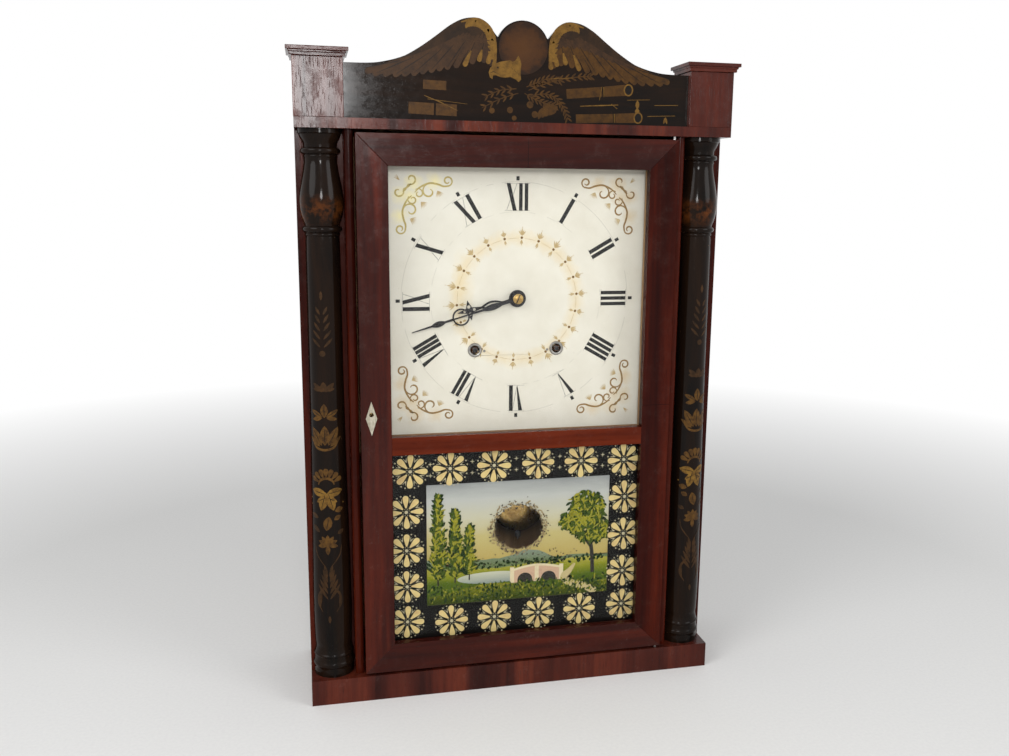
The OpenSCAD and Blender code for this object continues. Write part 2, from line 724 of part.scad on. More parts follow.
module pillar(p) difference() {
    union() {
        rod(p, inner_y, back_plate_y, pillar_r);
        rod(p, plate_y - tenon_out, back_plate_y + plate_t, tenon_r);
    }
    translate([p[0] - 8, plate_y - tenon_out / 2, p[1]]) rotate([0, 90, 0]) cylinder(h = 16, r = 0.8);
}
module pillars_and_studs() color(cherry) place() {
    for (x = [-pillar_x, pillar_x]) for (z = [pillar_low, pillar_high]) pillar([x, z]);
    rod(centre, stud_front, inner_y, stud_r);
    rod(count_p, minute_wheel_y - 2, inner_y, stud_r);
    rod(motion_p, hour_wheel_y - 3, inner_y, motion_stud_r);
}

// Winding side of a train: arbor with its square, drum between flanges and ratchet
module winding_drum(p) {
    flange_r = drum_r + 5;
    flange_t = 1.6;
    rod(p, dial_y + 5, back_plate_y - 0.4, wind_arbor_r);
    rod(p, back_plate_y - 1, back_plate_y + plate_t - 1, pivot_r);
    box(p[0] - square_w / 2, p[0] + square_w / 2, dial_y - 2, dial_y + 6, p[1] - square_w / 2,
        p[1] + square_w / 2);
    rod(p, drum_y, drum_y + drum_w, drum_r);
    rod(p, drum_y, drum_y + flange_t, flange_r);
    rod(p, drum_y + drum_w - flange_t, drum_y + drum_w, flange_r);
    face_on(drum_y - ratchet_t, ratchet_t) translate(p) polygon([for (i = [0 : 11])
        for (q = [[0, 14], [1, 11.5]]) q[1] * [sin((i + q[0]) * 30), cos((i + q[0]) * 30)]]);
}
module time_drum() color(cherry) place() winding_drum(time_p);
module strike_drum() color(cherry) place() mirror([1, 0, 0]) winding_drum(time_p);

// Great wheel, loose on the winding arbor, with the pin of its click
click_pivot = [14, 22];
module great_wheel(side) {
    p = [side * wind_x, wind_z];
    difference() {
        union() {
            wheel(p, great_y, great_t, great_n, great_m, 0);
            rod(p + [side * click_pivot[0], click_pivot[1]], great_y + great_t - 1,
                great_y + great_t + ratchet_t, 1.2);
            children();
        }
        bore(p, plate_y - 20, great_y + great_t, wind_arbor_r + run_gap);
    }
}
module click(side) {
    p = [side * wind_x, wind_z];
    pin = p + [side * click_pivot[0], click_pivot[1]];
    nose = p + 14.5 * [side * sin(5), cos(5)];
    d = norm(nose - pin);
    difference() {
        face_on(great_y + great_t + 0.2, ratchet_t - 0.4) {
            translate(pin) circle(r = 2.6);
            translate(pin) rotate(90 - way(pin, nose)) polygon([[0, -2.4], [0, 2.4], [d, 0.8], [d, 0]]);
        }
        bore(pin, great_y + great_t - 1, great_y + great_t + ratchet_t, 1.2 + run_gap);
    }
}
module time_great_wheel() color(cherry) place() great_wheel(1);
module time_click() color(steel) place() click(1);
module strike_click() color(steel) place() click(-1);
module strike_great_wheel() color(cherry) place() great_wheel(-1) {
    rod(strike_p, minute_wheel_y, great_y + 1, 6.5);
    wheel(strike_p, minute_wheel_y, wheel_t, report_n, count_m, 0);
}

// Going train
module second_wheel() color(cherry) place() {
    arbor(second_p, arbor_r);
    rod(second_p, minute_wheel_y - 1, inner_y + 1, 2);
    pinion(second_p, inner_y + 1, great_t + 3, great_pinion, great_m, second_turn);
    wheel(second_p, second_y, wheel_t, second_n, second_m, 0);
}
module third_wheel() color(cherry) place() {
    arbor(third_p, 2);
    pinion(third_p, second_y - 3, wheel_t + 6, third_pinion, second_m, third_turn);
    wheel(third_p, third_y, wheel_t, third_n, third_m, 0);
}
module escape_wheel() color(cherry) place() {
    arbor(escape_p, 1.8);
    pinion(escape_p, third_y - 2, wheel_t + 4, escape_pinion, third_m, escape_turn);
    face_on(escape_y, wheel_t) translate(escape_p) polygon([for (i = [0 : escape_n - 1])
        for (q = [[-0.5, escape_r - 2.6], [0.02, escape_r], [0.12, escape_r], [0.2, escape_r - 2.6]])
        let (a = (i + 0.5 + q[0]) * 360 / escape_n) q[1] * [sin(a), cos(a)]]);
}

// Verge: two thin steel pallets on one arbor, with the crutch in front of the plate
module verge() color(steel) place() {
    rod(pivot_p, crutch_y - 1.4, inner_y + 1, 2);
    arbor_front = inner_y + 0.4;
    rod(pivot_p, arbor_front, back_plate_y - 0.4, 2.2);
    rod(pivot_p, back_plate_y - 1, back_plate_y + plate_t - 1, pivot_r);
    reach = pallet_half;
    foot = pallet_foot();
    both_pallets() translate(pivot_p) {
        difference() {
            circle(r = 5);
            circle(r = 2);
        }
        polygon([[0, 3.4], [reach + 1, -5.4], [reach + 0.4, -8], [0, -2.6]]);
        polygon([[reach + 1, -5.4], [foot[0] + pallet_t, foot[1]], [foot[0], foot[1]], [reach - 2, -7]]);
    }
    crutch_low = pivot_p[1] - crutch_drop;
    translate([pivot_p[0], crutch_y, crutch_low]) cylinder(h = crutch_drop, r = crutch_r);
    rod([pivot_p[0], crutch_low], rod_y + rod_d / 2 + 1.4, crutch_y + 0.3, crutch_r - 0.1);
    translate([pivot_p[0], rod_y, crutch_low - 1.1]) difference() {
        cylinder(h = 2.2, r = rod_d / 2 + 1.9);
        translate([0, 0, -1]) cylinder(h = 5, r = rod_d / 2 + 0.25);
    }
}
// Working edge of a pallet, from the pivot: just outside the wheel's teeth
function pallet_foot() = let (a = asin(min(1, (pallet_half - 4) / (escape_r + 0.5))))
    [(escape_r + 0.5) * sin(a), (escape_r + 0.5) * cos(a) - pallet_d];
module both_pallets() face_on(pallet_y, pallet_w) {
    children();
    translate([2 * pivot_p[0], 0]) mirror([1, 0]) children();
}

// Cock that carries the pendulum on a stud in line with the verge
module suspension_cock() color(iron) place() {
    rise = 12;
    rod(pivot_p, rod_y - 5, cock_y + 1, stud_d / 2);
    box(pivot_p[0] - 4, pivot_p[0] + 4, cock_y, cock_y + cock_t, pivot_p[1] - 4, pivot_p[1] + rise + 5);
    box(pivot_p[0] - 4, pivot_p[0] + 4, cock_y + cock_t - 1, plate_y, pivot_p[1] + rise,
        pivot_p[1] + rise + 5);
}

module pendulum_rod() color(steel) place() {
    difference() {
        union() {
            rod(pivot_p, rod_y - 1.5, rod_y + 1.5, eye_r);
            translate([pivot_p[0], rod_y, bob_z - bob_d / 2 - 10])
                cylinder(h = pendulum_l + bob_d / 2 + 10 - stud_d / 2 - 0.8, r = rod_d / 2);
        }
        bore(pivot_p, rod_y - 2, rod_y + 2, stud_d / 2 + run_gap);
    }
    translate([pivot_p[0], rod_y, bob_z - bob_d / 2 - 7]) cylinder(h = 5, r = 3);
}

module pendulum_bob() color(brass) place() difference() {
    translate([pivot_p[0], bob_y, bob_z]) rotate([-90, 0, 0]) rotate_extrude()
        polygon(concat([[0, bob_t / 2 + 1.5], [0, 0]], [for (a = [0 : 10 : 80])
            [bob_d / 2 * sin(a), 0.1 + (bob_t / 2 - 1.4) * (1 - cos(a))]],
            [[bob_d / 2, bob_t / 2 - 1.2], [bob_d / 2, bob_t / 2 + 1.2], [bob_d / 2 - 1, bob_t / 2 + 1.5]]));
    translate([pivot_p[0], rod_y, bob_z - bob_d]) cylinder(h = 2 * bob_d, r = rod_d / 2 + bob_hole_gap);
}

// Dial work in front of the plate
module cannon_wheel() color(cherry) place() difference() {
    wheel(second_p, minute_wheel_y, wheel_t, motion_n, motion_m, 0);
    bore(second_p, minute_wheel_y, minute_wheel_y + wheel_t, 2 + run_gap);
}
module motion_wheel() color(cherry) place() difference() {
    union() {
        wheel(motion_p, minute_wheel_y, wheel_t, motion_n, motion_m, motion_turn);
        pinion(motion_p, hour_wheel_y - 1, wheel_t + 3, motion_pinion, hour_m, 0);
    }
    bore(motion_p, hour_wheel_y - 2, minute_wheel_y + wheel_t, motion_stud_r + run_gap);
}
module minute_wheel() color(brass) place() difference() {
    union() {
        wheel(centre, minute_wheel_y, wheel_t, motion_n, motion_m, minute_turn);
        rod(centre, minute_hand_y - 1.2, minute_wheel_y + 0.5, minute_pipe_r);
    }
    bore(centre, stud_front - 2, minute_wheel_y + wheel_t, stud_r + run_gap);
}
module hour_wheel() color(brass) place() difference() {
    union() {
        wheel(centre, hour_wheel_y, wheel_t, hour_n, hour_m, hour_turn);
        rod(centre, hour_hand_y - 0.4, hour_wheel_y + 1, hour_pipe_r);
    }
    bore(centre, hour_hand_y - 1, hour_wheel_y + wheel_t, minute_pipe_r + run_gap);
}

// Hands, drawn upright and turned to their angle
module hand_bar(r0, r1, w0, w1) polygon([[-w0 / 2, r0], [w0 / 2, r0], [w1 / 2, r1], [-w1 / 2, r1]]);
module hand_leaf(r0, r1, w) polygon([for (i = [0 : 12]) [w / 2 * sin(i * 15), r0 + (r1 - r0) * i / 12],
    for (i = [11 : -1 : 1]) [-w / 2 * sin(i * 15), r0 + (r1 - r0) * i / 12]]);
module hand_ring(r, outer, inner) translate([0, r]) difference() {
    circle(r = outer);
    circle(r = inner);
}
module minute_hand() color(iron) place() difference() {
    face_on(minute_hand_y, hand_t) translate(centre) rotate(-minute_angle) {
        ring_at = minute_l * 0.54;
        circle(r = 6.2);
        hand_bar(4, ring_at - 8, 3, 1.8);
        hand_leaf(minute_l * 0.12, minute_l * 0.36, 6.4);
        hand_ring(ring_at, 8.8, 7.2);
        hand_bar(ring_at - 8.4, ring_at + 8.4, 1.6, 1.4);
        hand_bar(ring_at + 7.6, minute_l * 0.71, 2.6, 2);
        hand_leaf(minute_l * 0.67, minute_l * 0.83, 6);
        hand_bar(minute_l * 0.78, minute_l, 2.2, 0.9);
    }
    bore(centre, minute_hand_y, minute_hand_y + hand_t, minute_pipe_r + seat);
}
module hour_hand() color(iron) place() difference() {
    face_on(hour_hand_y, hand_t) translate(centre) rotate(-hour_angle) difference() {
        cross = hour_l * 0.79;
        star_r = hour_l * 0.2;
        leaf = [for (i = [0 : 11]) [max(1.1, 4.3 * sin(i * 15)), hour_l * (0.22 + i / 30)]];
        star = [[1.1, cross - star_r * 0.9], [2.6, cross - 3.1], [star_r * 0.82, cross],
            [2.6, cross + 3.1], [0, cross + star_r]];
        edge = concat([[1.6, 7]], leaf, star);
        union() {
            circle(r = 8.8);
            polygon(concat(edge, [for (i = [len(edge) - 2 : -1 : 0]) [-edge[i][0], edge[i][1]]]));
        }
        hand_leaf(hour_l * 0.28, hour_l * 0.55, 4.6);
        for (s = [-1, 1]) translate([s * 3.7, cross]) circle(r = 1.7, $fn = 16);
        for (s = [-1, 1]) translate([0, cross + s * 5]) circle(r = 1.5, $fn = 16);
    }
    bore(centre, hour_hand_y, hour_hand_y + hand_t, hour_pipe_r + seat);
}

// Striking train
module pin_wheel() color(cherry) place() {
    arbor(pin_p, arbor_r);
    pinion(pin_p, inner_y + 1, great_t + 3, great_pinion, great_m, pin_turn);
    wheel(pin_p, second_y, wheel_t, pin_n, second_m, 0);
    for (i = [0 : 7])
        rod(at(pin_p, pin_circle_r, way(pin_p, hammer_p) + 22.5 + i * 45), second_y - pin_l, second_y + 1,
            lift_pin_r);
}
module warning_wheel() color(cherry) place() {
    arbor(warning_p, 2);
    pinion(warning_p, second_y - 3, wheel_t + 6, third_pinion, second_m, warning_turn);
    wheel(warning_p, third_y, wheel_t, third_n, third_m, 0);
}
module fly() color(cherry) place() {
    arbor(fly_p, 1.8);
    pinion(fly_p, third_y - 2, wheel_t + 4, escape_pinion, third_m, fly_turn);
    translate([fly_p[0], inner_y + 22, fly_p[1]]) rotate([0, -20, 0]) translate([-13, 0, -0.8])
        cube([26, 13, 1.6]);
}
module count_wheel() color(cherry) place() difference() {
    wheel(count_p, minute_wheel_y, wheel_t, count_n, count_m, count_turn);
    bore(count_p, minute_wheel_y, minute_wheel_y + wheel_t, stud_r + run_gap);
    for (i = [0 : 5])
        rod(at(count_p, count_hole_ring_r, i * 60), minute_wheel_y - 1, minute_wheel_y + wheel_t + 1,
            count_hole_r);
}

// Hammer: arbor, tail that the pins lift, and the wire up to the bell
module hammer() color(steel) place() {
    head_x = bell_x + bell_r + hammer_gap + hammer_r;
    aim = way(hammer_p, pin_p);
    arbor(hammer_p, 2);
    face_on(tail_y - 1.2, 2.4) translate(hammer_p) rotate(-aim)
        polygon([[-tail_w / 2, 0], [tail_w / 2, 0], [tail_w / 4, tail_l], [-tail_w / 4, tail_l]]);
    lean = atan2(head_x - hammer_p[0], bell_z - hammer_p[1]);
    wire = norm([head_x, bell_z] - hammer_p);
    translate([hammer_p[0], hammer_y, hammer_p[1]]) rotate([0, lean, 0])
        cylinder(h = wire, r = hammer_rod_r);
    translate([head_x, hammer_y - head_l + 1, bell_z]) rotate([-90, 0, 0])
        cylinder(h = head_l, r = hammer_r);
}

// Bell on its stud: the mouth faces the back board
module bell() color(brass) place() {
    translate([bell_x, bell_y, bell_z]) rotate([-90, 0, 0]) {
        difference() {
            rotate_extrude() polygon(concat(
                [for (a = [0 : 10 : 90]) [bell_r * sin(a), bell_depth * (1 - cos(a))]],
                [[bell_r, bell_depth + 1], [bell_r - bell_t, bell_depth + 1]],
                [for (a = [90 : -10 : 0])
                    [(bell_r - bell_t) * sin(a), bell_t + (bell_depth - bell_t) * (1 - cos(a))]]));
            translate([0, 0, -1]) cylinder(h = 6, r = bell_stud_r + seat);
        }
        translate([0, 0, -4]) cylinder(h = back_y - bell_y + 4, r = bell_stud_r);
        translate([0, 0, -4]) cylinder(h = 4 - seat, r = 5);
    }
}

// Weights, cords and pulleys
module weight(side) translate([side * weight_x, cord_y, 0]) {
    top = weight_top - hook_h;
    rotate_extrude() polygon([[0, top - weight_h], [weight_d / 2 - 2, top - weight_h],
        [weight_d / 2, top - weight_h + 2], [weight_d / 2, top - 4], [weight_d / 2 - 5, top],
        [0, top]]);
    translate([0, 0, top - 2]) cylinder(h = hook_h - 2 * hook_r + 2, r = hook_wire);
    translate([0, 0, weight_top - hook_r - hook_wire]) rotate([0, 90, 0]) rotate_extrude()
        translate([hook_r, 0]) circle(r = hook_wire);
}
module time_weight() color(iron) place() weight(1);
module strike_weight() color(iron) place() weight(-1);

drop_top = pulley_z;
drop_low = weight_top + 0.3;
module drop(side) translate([side * weight_x, cord_y, drop_low])
    cylinder(h = drop_top - drop_low - 0.2, r = cord_r);
module time_weight_cord() color(hemp) place() drop(1);
module strike_weight_cord() color(hemp) place() drop(-1);

// Tube along [x, z] points in the plane of the cords
module tube(path, r, sides) {
    last = len(path) - 1;
    points = [for (i = [0 : last])
        let (a = path[max(0, i - 1)], b = path[min(last, i + 1)], u = (b - a) / norm(b - a))
        for (k = [0 : sides - 1]) let (c = r * cos(k * 360 / sides), s = r * sin(k * 360 / sides))
        [path[i][0] + c * u[1], cord_y + s, path[i][1] - c * u[0]]];
    sleeve = [for (i = [0 : last - 1]) for (k = [0 : sides - 1])
        let (n = (k + 1) % sides) [i * sides + n, i * sides + k, (i + 1) * sides + k, (i + 1) * sides + n]];
    polyhedron(points, concat([[for (k = [0 : sides - 1]) k]], sleeve,
        [[for (k = [sides - 1 : -1 : 0]) last * sides + k]]));
}

// Cord from the outer side of the drum to the inner side of the pulley and over it
module cord_runs() color(hemp) place() both_sides() {
    p = [pulley_x, pulley_z];
    d = norm(p - time_p);
    axis = way(time_p, p);
    // The cord runs on the right of the drum and on the left of the pulley
    cross = acos((wrap_r + pulley_r) / d);
    start = at(time_p, wrap_r + 0.1, axis + cross);
    first = axis + cross - 180;
    straight = 12;
    end = at(p, pulley_r + 0.1, first);
    tube(concat([for (i = [0 : straight - 1]) start + (end - start) * i / straight],
        [for (i = [0 : 12]) at(p, pulley_r + 0.1, first + (90 - first) * i / 12)]), cord_r, 8);
}

module pulley(side) translate([side * pulley_x, cord_y, pulley_z]) rotate([-90, 0, 0]) {
    rim_r = pulley_r + pulley_rim - 1.4;
    groove = pulley_r - cord_r - 0.2;
    rotate_extrude() polygon([[0, -pulley_w / 2], [rim_r, -pulley_w / 2], [rim_r, -pulley_w / 2 + 1.2],
        [groove, -cord_r - 0.2], [groove, cord_r + 0.2], [rim_r, pulley_w / 2 - 1.2],
        [rim_r, pulley_w / 2], [0, pulley_w / 2]]);
    translate([0, 0, -pulley_pin_l / 2 + 0.4]) cylinder(h = pulley_pin_l - 0.8, r = pulley_pin_r);
}
module time_pulley() color(cherry) place() pulley(1);
module strike_pulley() color(cherry) place() pulley(-1);

base_rail();
base_boards();
side_boards();
back_board();
top_board();
column_boards();
bead_strips();
columns();
chimneys();
chimney_caps();
crest();
inner_cleats();
dial();
winding_eyelets();
door_left_stile();
door_right_stile();
door_top_rail();
door_middle_rail();
door_bottom_rail();
dial_glass();
tablet_glass();
escutcheon();
lock_case();
lock_bolt();
hinge_pins();
front_plate();
back_plate();
pillars_and_studs();
time_drum();
time_great_wheel();
time_click();
second_wheel();
third_wheel();
escape_wheel();
verge();
suspension_cock();
pendulum_rod();
pendulum_bob();
cannon_wheel();
motion_wheel();
minute_wheel();
minute_hand();
hour_wheel();
hour_hand();
strike_drum();
strike_great_wheel();
strike_click();
pin_wheel();
warning_wheel();
fly();
count_wheel();
hammer();
bell();
time_weight();
strike_weight();
cord_runs();
time_weight_cord();
strike_weight_cord();
time_pulley();
strike_pulley();
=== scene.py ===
# %% [markdown]
# A shelf clock with half columns, dressed around its imported CAD model.
# The case, the door, the movement and the weights come from the CAD frame at their real size.
# Blender adds what a finisher, a dial painter and a stenciller add: veneer and varnish, gilding,
# numerals, the painted glass, twisted cords and small pins.
# Every new piece sits where the frame says, in metres. All but the hanging cords ride on the body that
# carries them.

import json
import math
import random

import bmesh
import bpy
from mathutils import Matrix, Vector
from mathutils.bvhtree import BVHTree


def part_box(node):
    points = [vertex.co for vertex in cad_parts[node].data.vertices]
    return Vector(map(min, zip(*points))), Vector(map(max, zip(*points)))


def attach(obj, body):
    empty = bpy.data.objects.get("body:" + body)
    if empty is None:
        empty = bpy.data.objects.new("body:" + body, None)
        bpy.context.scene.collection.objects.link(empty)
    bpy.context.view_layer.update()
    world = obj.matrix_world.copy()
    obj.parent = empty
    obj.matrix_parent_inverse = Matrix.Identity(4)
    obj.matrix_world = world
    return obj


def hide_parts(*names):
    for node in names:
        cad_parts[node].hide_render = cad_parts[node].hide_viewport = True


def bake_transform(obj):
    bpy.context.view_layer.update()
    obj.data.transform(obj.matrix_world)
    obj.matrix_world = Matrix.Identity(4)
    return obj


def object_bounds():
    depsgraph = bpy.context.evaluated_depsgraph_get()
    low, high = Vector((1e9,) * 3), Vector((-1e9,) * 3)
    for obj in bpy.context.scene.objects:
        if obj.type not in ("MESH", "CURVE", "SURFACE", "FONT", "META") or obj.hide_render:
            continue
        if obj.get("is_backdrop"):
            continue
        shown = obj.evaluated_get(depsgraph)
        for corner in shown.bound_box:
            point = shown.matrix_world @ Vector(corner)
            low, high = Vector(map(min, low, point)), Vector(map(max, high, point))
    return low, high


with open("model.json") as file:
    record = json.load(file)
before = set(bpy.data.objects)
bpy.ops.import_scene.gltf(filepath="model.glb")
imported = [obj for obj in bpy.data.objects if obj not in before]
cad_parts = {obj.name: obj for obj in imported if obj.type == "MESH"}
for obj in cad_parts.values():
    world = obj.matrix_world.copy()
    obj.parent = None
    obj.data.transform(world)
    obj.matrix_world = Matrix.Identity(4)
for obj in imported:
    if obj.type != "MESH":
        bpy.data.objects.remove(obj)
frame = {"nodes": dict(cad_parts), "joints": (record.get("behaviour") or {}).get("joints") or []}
cad_low, cad_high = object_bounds()
MM = 0.001
nodes = frame["nodes"]
joints = {joint["name"]: joint for joint in frame["joints"]}
print("CAD nodes:", len(nodes), "joints:", len(joints))


# %% [markdown]
# Sizes come from the frame, so a change of the CAD model moves the dressing with it.
# The row frame has its origin under the middle of the clock, so the CAD's front plane is at a
# negative Y. Most places below are easier to think of in millimetres in the case's own frame:
# x from the middle, y back from the base's front face, z up from the shelf.

# %% Places that the pieces share, in millimetres
FRONT_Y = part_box("base_rail")[0].y / MM
TO_SCENE = Matrix.Translation((0, FRONT_Y * MM, 0)) @ Matrix.Scale(MM, 4)


def extent(name):
    """Lowest and highest corner of a CAD node in the case's frame, in millimetres."""
    low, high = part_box(name)
    shift = Vector((0, FRONT_Y, 0))
    return low / MM - shift, high / MM - shift


def at(x, y, z):
    """A point of the case's frame as a point of the scene, in metres."""
    return Vector((x, y + FRONT_Y, z)) * MM


def pivot(name):
    """Where a joint turns, in the case's frame."""
    return Vector(joints[name]["pos_m"]) / MM - Vector((0, FRONT_Y, 0))


HAND_X = pivot("minute_turn").x
HAND_Z = pivot("minute_turn").z
RING_X = HAND_X + 0.6
RING_Z = HAND_Z - 1.4
DIAL_FACE = extent("dial")[0].y
GLASS_BACK = extent("tablet_glass")[1].y
print("dial centre", round(HAND_X, 2), round(HAND_Z, 2), "glass back", round(GLASS_BACK, 2))


# %% [markdown]
# The camera comes first.
# It stands left of the clock and a little above its middle, and looks slightly down. The places
# of the case's corners in the picture give its position, its turn and its lens.

# %% Camera at the photograph's angle
PICTURE_W = 1009
PICTURE_H = 756
FOCAL_PX = 938.0
MIDDLE_PX = (518.68, 368.62)
SENSOR = 36.0
CAMERA_AT = Vector((-0.2065, -0.96996, 0.52014))
YAW = 0.2209
PITCH = -0.1837
ROLL = 0.0101


def make_camera():
    ahead = Vector((math.sin(YAW) * math.cos(PITCH), math.cos(YAW) * math.cos(PITCH), math.sin(PITCH)))
    side = Vector((math.cos(YAW), -math.sin(YAW), 0))
    above = side.cross(ahead)
    right = math.cos(ROLL) * side + math.sin(ROLL) * above
    up = math.cos(ROLL) * above - math.sin(ROLL) * side
    data = bpy.data.cameras.new("camera")
    data.sensor_width = SENSOR
    data.lens = FOCAL_PX / PICTURE_W * SENSOR
    data.shift_x = (PICTURE_W / 2 - MIDDLE_PX[0]) / PICTURE_W
    data.shift_y = (MIDDLE_PX[1] - PICTURE_H / 2) / PICTURE_W
    data.clip_start = 0.01
    data.dof.use_dof = False
    camera = bpy.data.objects.new("camera", data)
    turn = Matrix((right, up, -ahead)).transposed().to_4x4()
    camera.matrix_world = Matrix.Translation(CAMERA_AT) @ turn
    bpy.context.scene.collection.objects.link(camera)
    bpy.context.scene.camera = camera
    return camera


camera = make_camera()
bpy.context.scene.view_settings.view_transform = "Standard"
print("lens", round(camera.data.lens, 2), "mm")


# %% [markdown]
# A material here is a small graph of nodes. Small helpers keep the graphs readable: one adds a
# node and joins its inputs, the others wrap the few kinds that every finish uses.
# A value that is the same all over a surface is set on the shader itself.

# %% Helpers for materials
def add(tree, kind, inputs=None, **settings):
    """A node with its settings. An input is a value, or another node's socket to join."""
    made = tree.nodes.new(kind)
    for key, value in settings.items():
        setattr(made, key, value)
    for key, value in (inputs or {}).items():
        if isinstance(value, bpy.types.NodeSocket):
            tree.links.new(value, made.inputs[key])
        else:
            made.inputs[key].default_value = value
    return made


def place_of(tree, scale=(1, 1, 1), shift=(0, 0, 0)):
    """Object coordinates in metres, shifted, then scaled."""
    start = add(tree, "ShaderNodeTexCoord").outputs["Object"]
    moved = add(tree, "ShaderNodeMapping", {"Vector": start, "Location": shift}).outputs["Vector"]
    return add(tree, "ShaderNodeMapping", {"Vector": moved, "Scale": scale}).outputs["Vector"]


def noise(tree, vector, scale, detail=3.0, rough=0.55, distortion=0.0):
    inputs = {
        "Vector": vector, "Scale": scale, "Detail": detail, "Roughness": rough, "Distortion": distortion,
    }
    return add(tree, "ShaderNodeTexNoise", inputs).outputs["Fac"]


def spread(tree, value, low, high, to_low=0.0, to_high=1.0):
    """A value's range stretched to another one, and clamped there."""
    inputs = {"Value": value, "From Min": low, "From Max": high, "To Min": to_low, "To Max": to_high}
    return add(tree, "ShaderNodeMapRange", inputs).outputs["Result"]


def ramp(tree, value, stops):
    """A colour that follows a value through (position, colour) stops."""
    made = add(tree, "ShaderNodeValToRGB", {"Fac": value})
    elements = made.color_ramp.elements
    for index, (position, colour) in enumerate(stops):
        element = elements[index] if index < 2 else elements.new(position)
        element.position = position
        element.color = (*colour, 1)
    return made.outputs["Color"]


def mix(tree, share, first, second):
    """Two colours mixed by a share. A colour is a tuple or a socket."""
    first = first if isinstance(first, bpy.types.NodeSocket) else (*first, 1)
    second = second if isinstance(second, bpy.types.NodeSocket) else (*second, 1)
    return add(tree, "ShaderNodeMix", {0: share, 6: first, 7: second}, data_type="RGBA").outputs[2]


def maths(tree, kind, first, second=0.5):
    return add(tree, "ShaderNodeMath", {0: first, 1: second}, operation=kind).outputs[0]


def plus(tree, first, second):
    return maths(tree, "ADD", first, second)


def minus(tree, first, second):
    return maths(tree, "SUBTRACT", first, second)


def times(tree, first, second):
    return maths(tree, "MULTIPLY", first, second)


def vector_maths(tree, kind, first, second=(0, 0, 0), out="Vector"):
    return add(tree, "ShaderNodeVectorMath", {0: first, 1: second}, operation=kind).outputs[out]


def length_of(tree, vector):
    return vector_maths(tree, "LENGTH", vector, out="Value")


def axis_of(tree, vector, axis):
    return add(tree, "ShaderNodeSeparateXYZ", {0: vector}).outputs[axis]


def bump(tree, height, strength, distance):
    inputs = {"Height": height, "Strength": strength, "Distance": distance * MM}
    return add(tree, "ShaderNodeBump", inputs).outputs["Normal"]


def new_material(name, **values):
    """A material with its Principled shader. Values that are the same all over go straight on it."""
    material = bpy.data.materials.new(name)
    material.use_nodes = True
    tree = material.node_tree
    shader = tree.nodes["Principled BSDF"]
    for key, value in values.items():
        shader.inputs[key.replace("_", " ")].default_value = value
    return material, tree, shader


def dress(tree, shader, tone, rough=None, relief=None):
    """Joins a colour, a roughness and a bump to the shader."""
    for name, socket in (("Base Color", tone), ("Roughness", rough), ("Normal", relief)):
        if socket is not None:
            tree.links.new(socket, shader.inputs[name])


def end_with(tree, shader):
    """Makes a shader the surface of its material."""
    tree.links.new(shader.outputs[0], tree.nodes["Material Output"].inputs["Surface"])


# %% [markdown]
# The stage is a pale round floor that fades into the white of the background, so the clock's
# shadow shows and nothing else does. White for the camera, for glossy and for see-through rays
# comes from Light Path, which adds no light to the object.

# %% Floor and world
FLOOR_R = 2.6
FADE_FROM = 0.75
FADE_TO = 1.7


def seen_directly(tree):
    """1 for rays from the camera, from gloss or through glass, and 0 for light that spreads."""
    path = add(tree, "ShaderNodeLightPath").outputs
    straight = maths(tree, "MAXIMUM", path["Is Camera Ray"], path["Is Glossy Ray"])
    return maths(tree, "MAXIMUM", straight, path["Is Transmission Ray"])


def floor_material():
    material, tree, shader = new_material("pale_floor", Roughness=0.75, Specular_IOR_Level=0.1)
    place = place_of(tree)
    speckle = noise(tree, place, 300.0, 4.0)
    dress(tree, shader, ramp(tree, speckle, [(0.3, (0.79, 0.78, 0.765)), (0.7, (0.83, 0.82, 0.80))]))
    far = spread(tree, length_of(tree, place), FADE_FROM, FADE_TO)
    white = add(tree, "ShaderNodeEmission", {"Color": (1, 1, 1, 1), "Strength": 1.0})
    share = times(tree, far, seen_directly(tree))
    end_with(tree, add(tree, "ShaderNodeMixShader", {0: share, 1: shader.outputs[0], 2: white.outputs[0]}))
    return material


def make_floor():
    bm = bmesh.new()
    bmesh.ops.create_circle(bm, cap_ends=True, radius=FLOOR_R, segments=96)
    mesh = bpy.data.meshes.new("floor")
    bm.to_mesh(mesh)
    bm.free()
    floor = bpy.data.objects.new("floor", mesh)
    mesh.materials.append(floor_material())
    bpy.context.scene.collection.objects.link(floor)
    floor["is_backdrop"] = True


def make_world():
    world = bpy.data.worlds.new("studio")
    bpy.context.scene.world = world
    world.use_nodes = True
    tree = world.node_tree
    dim = tree.nodes["Background"]
    dim.inputs["Color"].default_value = (0.96, 0.98, 1.0, 1)
    dim.inputs["Strength"].default_value = 0.52
    white = add(tree, "ShaderNodeBackground", {"Color": (1, 1, 1, 1), "Strength": 1.0})
    inputs = {0: seen_directly(tree), 1: dim.outputs[0], 2: white.outputs[0]}
    mixed = add(tree, "ShaderNodeMixShader", inputs)
    tree.links.new(mixed.outputs[0], tree.nodes["World Output"].inputs["Surface"])


make_floor()
make_world()

# %% [markdown]
# Three soft lamps: a small one just above the camera, which gives varnish and brass their
# highlights as a camera's own light does, a large one on the left and a weaker one on the right.

# %% Lamps
LAMPS = [
    ("front_lamp", (-0.215, -1.20, 0.735), 0.22, 5.2),
    ("left_lamp", (-1.5, -1.0, 1.3), 1.2, 16.0),
    ("right_lamp", (1.4, -1.3, 1.1), 1.0, 11.0),
]
LAMP_AIM = Vector((0, 0, 0.36))


